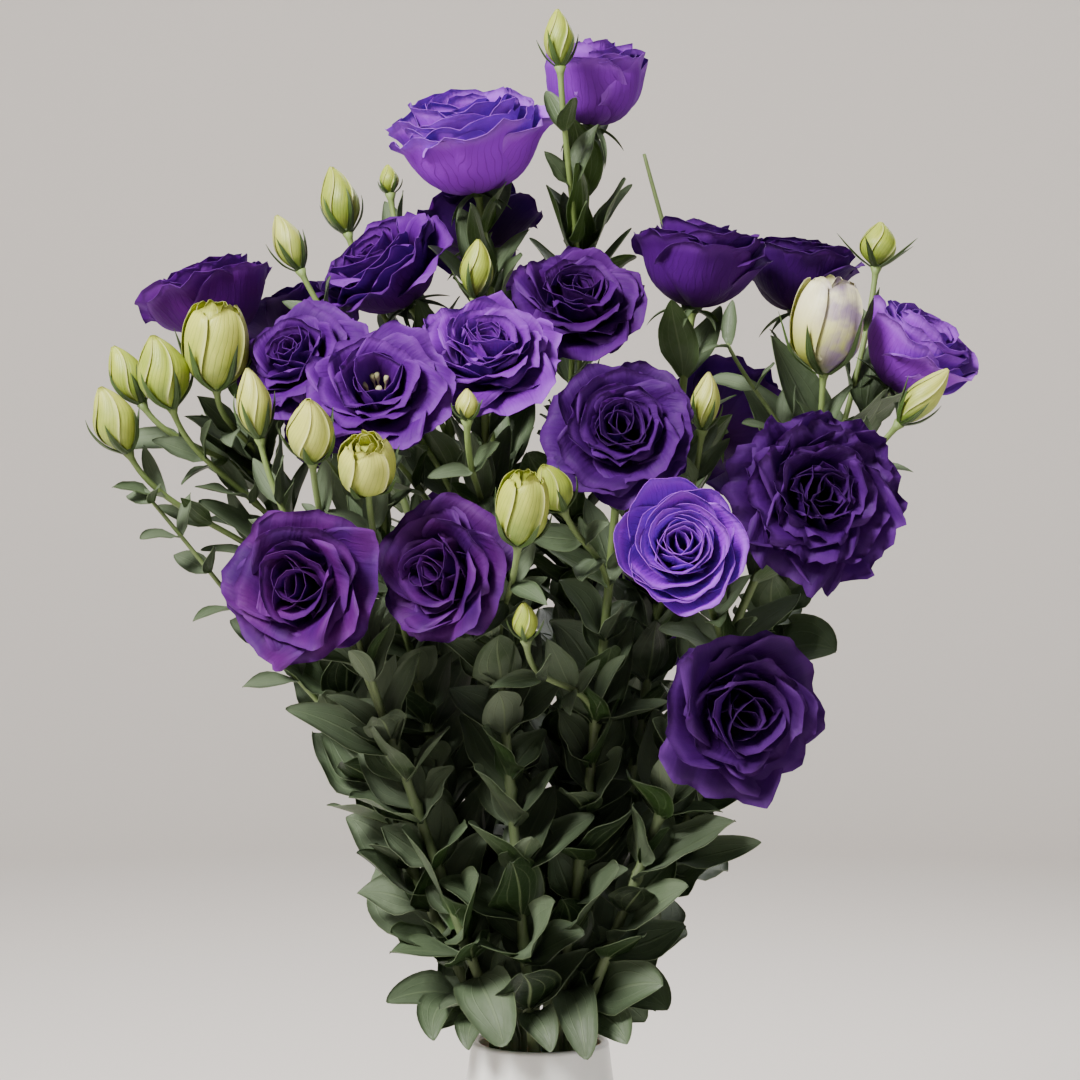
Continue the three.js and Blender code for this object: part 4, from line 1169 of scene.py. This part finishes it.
# How a petal stands: its reach, its seat, and its lean at the foot, middle and tip. A bloom is a mixture of
# shut and wide cups, and of bowls. Cup 0 is the outermost ring.
def petalStance(head, cup, inner):
    look, opening = head["look"], head["opening"]
    bowl, incurve, closing = (look.get(name, 0.0) for name in ("bowl", "incurve", "closed"))

    def between(values):
        return np.interp(cup, (0, 1, 2, 3), values)

    reach = between([c["reach"] for c in petal["cups"]]) * mix(petal["shutStretch"], 1, opening)
    reach = mix(reach, between([b["stretch"] for b in petal["bowls"]]), bowl)
    reach = reach * (1 + 0.12 * incurve * (1 - inner))
    seat = [between([c["seat"][k] for c in petal["cups"]]) for k in range(2)]
    bends = []
    for k in range(3):
        opened = between([mix(c["shut"][k], c["wide"][k], opening) for c in petal["cups"]])
        bowled = between([b["bends"][k] - closing * petal["closing"][k] for b in petal["bowls"]])
        bends.append(mix(opened, bowled, bowl) - petal["incurving"][k] * incurve * (1 - inner))
    return reach, seat, bends


# One petal as a grid: its outline first, then how it bends, wraps round the heart and waves
def petalGrid(head, cup, turn, rng):
    radius, look = head["radius"], head["look"]
    bowl, incurve = look.get("bowl", 0.0), look.get("incurve", 0.0)
    inner = min(cup / 2, 1.0)
    frill = look.get("frill", 1.0) * (1 - 0.25 * bowl)
    reach, (seatOut, seatUp), bends = petalStance(head, cup, inner)
    columns = petal["wideColumns" if cup < 1 else "columns"]
    columns += petal["moreColumns"] if frill > 1.2 else 0
    bearing = np.linspace(-pi / 2, pi / 2, columns)[None, :]
    s = np.sin(bearing)  # the columns stand closer together at both sides
    t = np.linspace(0, 1, petal["rows"])[:, None]
    length = radius * reach * rng.uniform(0.94, 1.04)
    calm = mix(1.0, 0.35, inner)  # the petals of the heart are more even
    teeth = 0.016 * np.sin(bearing * rng.uniform(9, 12) + rng.uniform(0, 6)) * frill**1.5
    teeth = teeth + rng.normal(0, 0.006, columns) * frill**2
    lobes = 0.026 * np.sin(s * rng.uniform(3, 5) + rng.uniform(0, 6)) * frill
    shoulder = mix(*petal["shoulders"], inner)
    lengths = length * (1 - shoulder * (1 - np.cos(bearing)) + (lobes + teeth) * calm)
    middle = (t[1:] + t[:-1]) / 2
    curl = mix(26, 10, inner) * rng.uniform(0.2, 1.6) * (1 - 0.5 * incurve)
    lean = rng.uniform(-0.6, 0.6)
    bend = np.interp(middle, (0, 0.5, 1), bends) + rng.normal(0, 4.0) * calm
    bend = bend + curl * smoothStep(middle, 0.66, 1.0) * (1 + lean * s)
    bend = bend + rng.normal(0, 6.0) * s * middle * calm
    bend = np.radians(bend * np.ones_like(s))
    step = lengths / (petal["rows"] - 1)
    zero = np.zeros_like(s)
    out = seatOut + np.concatenate((zero, np.cumsum(np.sin(bend) * step, 0)))
    up = seatUp + np.concatenate((zero, np.cumsum(np.cos(bend) * step, 0)))
    tilt = np.concatenate((bend[:1], (bend[1:] + bend[:-1]) / 2, bend[-1:]))
    broad = (1 + 0.12 * look.get("loose", 0) + 0.24 * look.get("simple", 0)) * (1 + 0.12 * bowl)
    half = radius * np.interp(cup, (0, 1, 2, 3), petal["halfWidths"]) * rng.uniform(0.94, 1.08) * broad
    belly = 0.62  # the share of the length where a petal is at its widest
    below = 0.2 + 0.8 * np.sin(pi / 2 * np.minimum(t / belly, 1)) ** 1.1
    half = half * np.where(t < belly, below, 1 - 0.06 * ((t - belly) / (1 - belly)) ** 2)
    middleOut = np.maximum(out[:, columns // 2][:, None], petal["narrowest"])
    wrap = np.minimum(half / middleOut, mix(1.35, 1.9, inner))
    hug = 1 - t * mix(mix(0.62, 0.05, bowl), 0.12, inner)  # a low part follows the heart, the rest cups
    cupping = mix(mix(0.75, 0.40, head["opening"]), 1.3, inner) + 0.35 * incurve
    beta = np.maximum(hug * wrap + (1 - hug) * cupping, 0.15)
    x = half / beta * np.sin(beta * s)
    depth = half / beta * (1 - np.cos(beta * s))
    edge = np.maximum(np.abs(s) ** 3 * t, t**5)
    broadWave, fineWave = rng.uniform(0.8, 1.5), rng.uniform(2.2, 3.4)
    phases = rng.uniform(0, 2 * pi, 4)
    waves = np.sin(2 * pi * broadWave * s * (0.5 + 0.5 * t) + phases[0])
    waves = waves + 0.32 * frill * np.sin(2 * pi * fineWave * s + 3 * t + phases[1])
    waves = waves + 0.4 * np.sin(2 * pi * 1.7 * t + 2.5 * s + phases[2]) * np.abs(s)
    ripple = waves * edge * radius * 0.070 * frill * calm
    billow = np.sin(2.2 * s + phases[3]) * np.sin(pi * np.minimum(t * 0.8, 1)) * radius * 0.035 * calm
    shingle = s * half * 0.16 * t
    inward = depth + ripple + shingle + billow
    tip = half * 0.05 * np.exp(-(s / 0.16) ** 2) * smoothStep(t, 0.85, 1.0)
    out = out - np.cos(tilt) * inward + np.sin(tilt) * tip
    up = up + np.sin(tilt) * inward + np.cos(tilt) * tip
    across, other = sidesOf(head["axis"])
    radial = across * cos(turn) + other * sin(turn)
    tangent = other * cos(turn) - across * sin(turn)
    grid = baseOf(head) + radial * out[..., None] + tangent * x[..., None] + head["axis"] * up[..., None]
    return grid, t * np.ones_like(s), s * np.ones_like(t)


def makeBloom(head, number, material):
    rng = np.random.default_rng(500 + number)
    look = head["look"]
    skin = Skin()
    turn = rng.uniform(0, 2 * pi)
    fullness = next((name for name in ("simple", "loose") if look.get(name)), "full")
    rings = petal[fullness][:-2] if look.get("eye") else petal[fullness]
    bright = look.get("bright", 0.0) + look.get("pale", 0.0) * 0.85
    for cup, count in rings:
        turn += pi / count + 0.35
        pale = look.get("pale", 0.0) * (0.35 + 0.65 * max(1 - cup / 2, 0.0))
        for k in range(count):
            spin = turn + 2 * pi * k / count + rng.normal(0, 0.07)
            grid, along, across = petalGrid(head, cup + 0.05 * k / count, spin, rng)
            # A bloom's dark look lowers its tone. This is partly its own deeper violet and partly painted
            # shade for blooms that sit low under the others.
            tone = max(rng.uniform(0.25, 1.0) - look.get("dark", 0.0), 0.0)
            skin.sheet(grid, petal["thickness"], along, across, tone=tone, pale=pale, bright=bright,
                       warm=look.get("magenta", 0.0))
    if look.get("eye"):
        addEye(skin, head, rng)
    return skin.build(f"petals_{head['name']}", material, "petals", head["name"])


def addEye(skin, head, rng):  # the pistil, and the stamens round it
    base = baseOf(head)
    across, other = sidesOf(head["axis"])
    s = np.linspace(0, 1, 7)
    for k in range(eye["stamens"]):
        turn = rng.uniform(0, 2 * pi)
        out = (0.0012 + 0.0022 * (k > 0)) * rng.uniform(0.7, 1.3) * (k > 0)
        side = across * cos(turn) + other * sin(turn)
        foot = base + head["axis"] * eye["foot"] + side * out * 0.5
        height = head["radius"] * eye["height"] * rng.uniform(0.75, 1.0)
        tip = base + head["axis"] * (eye["foot"] + height) + side * out * 1.6
        points = foot + (tip - foot) * s[:, None]
        radii = np.where(s > 0.8, eye["anther"], eye["thin"]) * (1.3 if k == 0 else 1.0)
        addTube(skin, points, radii, 6, along=1.0, tone=1.0, pale=1.0, outside=2.0)


def petalPaint():
    paint = Paint("violetPetal")
    along, across, outside = paint.mark("along"), paint.mark("across"), paint.mark("outside")
    tone, pale, magenta = paint.mark("tone"), paint.mark("pale"), paint.mark("warm")
    back = outside.smaller(1.0)
    pollen = paint.smooth(outside, 1.4, 1.6)
    place = paint.place()
    side = abs(across)
    cloud = paint.noise(place, 70.0, 1.0)
    fine = paint.noise(place, 700.0, 1.0)
    warp = across * 22 + (cloud - 0.5) * 9 + (across * along) * 5
    vein = paint.smooth(abs(warp.wave()), 0.30, 0.0) * paint.smooth(along, 0.99, 0.7)
    lanes = paint.add("CombineXYZ", None, {"X": across * 11, "Y": along * 1.6, "Z": tone * 40})
    streak = paint.noise(lanes, 1.0, 2.0, 0.6)
    base = paint.blend(tone * (0.25 + cloud * 0.6 + streak * 0.8), petal["deep"], petal["violet"])
    base = paint.blend(paint.mark("bright") * (0.6 + cloud * 0.5), base, petal["bright"])
    base = paint.blend(magenta * paint.smooth(cloud, 0.25, 0.7) * 0.9, base, petal["magenta"])
    # Painted shade deep in the bloom: the front of each petal darkens towards its foot, partly the bloom's
    # own darker heart colour.
    throatShade = paint.smooth(along, 0.55, 0.05) * (1 - back * 0.9)
    base = paint.blend(throatShade * 0.65, base, petal["heart"])
    belly = paint.smooth(along, 0.97, 0.55) * paint.smooth(along, 0.02, 0.3)
    base = paint.blend(back * (0.2 + belly * 0.25), base, petal["back"])
    # Paler lavender rims: partly the petals' own lighter edge, partly a painted highlight along the thin
    # edges. The paler backs mixed in here are the petals' own colour.
    rim = paint.smooth(side.larger(along) + (cloud - 0.5) * 0.08, 0.84, 1.0)
    lift = pale * (0.2 + back * belly * 0.75) + rim * (0.10 + pale * 0.3 + paint.mark("bright") * 0.4)
    base = paint.blend(lift.smaller(1.0) * (0.75 + fine * 0.4), base, petal["lavender"])
    base = paint.blend(vein * 0.3, base, petal["deep"])
    base = paint.blend(pollen, base, petal["pollen"])
    bump = paint.bump(fine * 0.4 + streak * 1.5 - vein * 0.4, 0.55, 0.0006)
    sockets = {"Base Color": base, "Roughness": 0.52 + fine * 0.18, "Normal": bump,
               "Specular IOR Level": 0.14}
    skin = paint.add("BsdfPrincipled", None, sockets)
    glow = paint.add("BsdfTranslucent", None, {"Color": colour(petal["glow"])})
    return paint.finish(paint.add("MixShader", None, {0: 0.25, 1: skin, 2: glow}))


# Buds: petals still wound round each other, green turning yellow, cream or violet
bud = {
    "outline": [(0, 0.2), (0.22, 0.82), (0.5, 1), (0.8, 0.6), (1, 0.1)],
    "blunt": [(0, 0.25), (0.2, 0.84), (0.5, 1), (0.8, 0.9), (1, 0.62)],
    "layers": [(1.0, 1.0, 5, 0.0), (0.72, 1.03, 4, 0.5), (0.42, 1.05, 3, 1.1)],  # wide, high, count, start
    "rows": 18, "columns": 9, "halfAngle": 1.02, "winding": 1.5, "thickness": 0.0004,
    "green": (0.085, 0.165, 0.014), "lime": (0.36, 0.42, 0.032), "cream": (0.74, 0.69, 0.20),
    "white": (0.76, 0.73, 0.43), "blush": (0.20, 0.11, 0.30), "edge": (0.66, 0.66, 0.30),
}


def budGirth(head, v):
    line = smoothOutline(bud["blunt" if head["look"].get("blunt") else "outline"], 10)
    return head["width"] / 2 * np.interp(v, line[:, 0], line[:, 1])


def makeBud(head, number, material):
    rng = np.random.default_rng(900 + number)
    look = head["look"]
    base, axis = baseOf(head), head["axis"]
    across, other = sidesOf(axis)
    phase = rng.uniform(0, 2 * pi)
    blunt = look.get("blunt", 0)
    skin = Skin()
    v = np.linspace(0, 1, 12)[:, None]
    angle = np.arange(16) * pi / 8
    core = budGirth(head, v) * 0.86 * (1 - 0.4 * blunt * smoothStep(v, 0.6, 1.0))
    ring = np.cos(angle)[None, :, None] * across + np.sin(angle)[None, :, None] * other
    height = v * head["length"] * (0.82 if blunt else 0.97)
    shell = base + axis * height[..., None] + ring * core[..., None]
    skin.tube(shell, base, base + axis * height[-1, 0], along=v * 0.5, tone=0.3, pale=look.get("cream", 0.0))
    for wide, high, count, start in bud["layers"] if blunt else bud["layers"][:1]:
        for k in range(count):
            turn = phase + start + 2 * pi * k / count + rng.normal(0, 0.05)
            addBudPetal(skin, head, turn, wide, high, rng)
    return skin.build(f"folded_{head['name']}", material, "bud_skin", head["name"])


def addBudPetal(skin, head, turn, wide, high, rng):
    look = head["look"]
    blunt = look.get("blunt", 0)
    base, axis = baseOf(head), head["axis"]
    across, other = sidesOf(axis)
    s = np.linspace(-1, 1, bud["columns"])[None, :]
    t = np.linspace(0, 1, bud["rows"])[:, None]
    top = 1 - mix(0.0, 0.10, blunt) * np.abs(s - 0.2) ** 2 + rng.uniform(-0.035, 0.01) * (0.3 + 0.7 * blunt)
    v = t * top
    wind = bud["winding"] * (1 - 0.5 * blunt) * v**1.4
    halfAngle = bud["halfAngle"] * (1 + 0.25 * (wide < 1)) * (1 - 0.35 * t**4)
    angle = turn + wind + s * halfAngle
    lap = 0.11 * s * smoothStep(v, 0.03, 0.3)
    pleat = 0.035 * np.sin(s * 7 + turn * 3) * smoothStep(v, 0.35, 0.9)
    crinkle = blunt * 0.09 * np.sin(s * 6 + turn * 5) * smoothStep(v, 0.75, 1.0)
    keel = 0.03 * np.cos(s * pi / 2) * np.sin(pi * v)
    radius = budGirth(head, v) * mix(1.0, wide, smoothStep(v, 0.1, 0.5)) * (1 + lap + pleat + crinkle + keel)
    radius = np.maximum(radius, 0.0004)
    lift = v * head["length"] * mix(1.0, high, t)
    radial = np.cos(angle)[..., None] * across + np.sin(angle)[..., None] * other
    grid = base + radial * radius[..., None] + axis * lift[..., None]
    # The blush sits on one fixed side of the bud, which on bud_18 is its front right, away from the key
    # lamp. It is partly a violet tinge and partly painted shade.
    side = smoothStep(np.cos(angle - 5.6), 0.0, 0.9) * np.ones_like(v)
    skin.sheet(grid, bud["thickness"], v * np.ones_like(s), s * np.ones_like(t), tone=rng.uniform(0, 1),
               pale=look.get("cream", 0.0), warm=look.get("blush", 0.0) * side)


def budPaint():
    paint = Paint("budSkin")
    along, side = paint.mark("along"), paint.mark("across")
    tone, cream, blush = paint.mark("tone"), paint.mark("pale"), paint.mark("warm")
    place = paint.place()
    cloud = paint.noise(place, 120.0, 2.0)
    fine = paint.noise(place, 800.0, 1.0)
    base = paint.blend(tone * 0.3 + along * 0.9 + (cloud - 0.5) * 0.6, bud["green"], bud["lime"])
    base = paint.blend(cream * (0.1 + along * 1.05) + (cloud - 0.5) * 0.25, base, bud["cream"])
    base = paint.blend(paint.smooth(cream, 0.6, 1.0) * paint.smooth(along, 0.28, 0.8), base, bud["white"])
    streak = paint.smooth(abs((side * 16 + cloud * 2).wave()), 0.5, 0.0)
    base = paint.blend(streak * 0.4 * (1.1 - cream), base, bud["green"])
    edge = paint.smooth(abs(side), 0.82, 1.0)
    base = paint.blend(edge * 0.5, base, bud["edge"])
    # Greyish violet on one side: partly a violet tinge, partly painted shade.
    base = paint.blend(blush * paint.smooth(cloud, 0.25, 0.6), base, bud["blush"])
    bump = paint.bump(streak * 0.4 + fine * 0.4, 0.35, 0.0004)
    sockets = {"Base Color": base, "Roughness": 0.42 + fine * 0.15, "Normal": bump,
               "Subsurface Weight": 0.12, "Subsurface Radius": (0.004, 0.005, 0.001),
               "Subsurface Scale": 0.5}
    return paint.finish(paint.add("BsdfPrincipled", None, sockets))


def makeStem(number, grown):  # the stem's stalks are one piece and its leaves and sepals another
    stalks, leaves = Skin(), Skin()
    for sprig in grown["sprigs"]:
        addSprig(stalks, sprig)
        for leaf in sprig["leaves"]:
            addLeaf(leaves, leaf)
    for order, each in enumerate((grown["main"], *grown["branches"])):
        addStalk(stalks, each)
        addSepals(leaves, each["head"], number * 31 + order * 7)
        for leaf in each["leaves"]:
            addLeaf(leaves, leaf)
    stalks.build(f"stalks_{number:02d}", stalkMaterial, "foliage", grown["name"])
    leaves.build(f"leaves_{number:02d}", leafMaterial, "foliage", grown["name"])


# The whole bunch, piece by piece
setCamera()
setLamps(bpy.context.scene)
setSweep(bpy.context.scene)
print("camera and studio set")

makeVase()
makeWater()
print("vase and water made")

bunch = growBunch()
print("leaves grown:", sum(len(each["leaves"]) for g in bunch for each in (g["main"], *g["branches"])))

leafMaterial = leafPaint()
stalkMaterial = stalkPaint()
for number, grown in enumerate(bunch, 1):
    makeStem(number, grown)
print("stems and leaves made")

petalMaterial = petalPaint()
budMaterial = budPaint()
heads = [head for mouth, each in stems for head in each]
for number, head in enumerate(heads):
    if isBloom(head):
        makeBloom(head, number, petalMaterial)
    else:
        makeBud(head, number, budMaterial)
print("blooms and buds made")
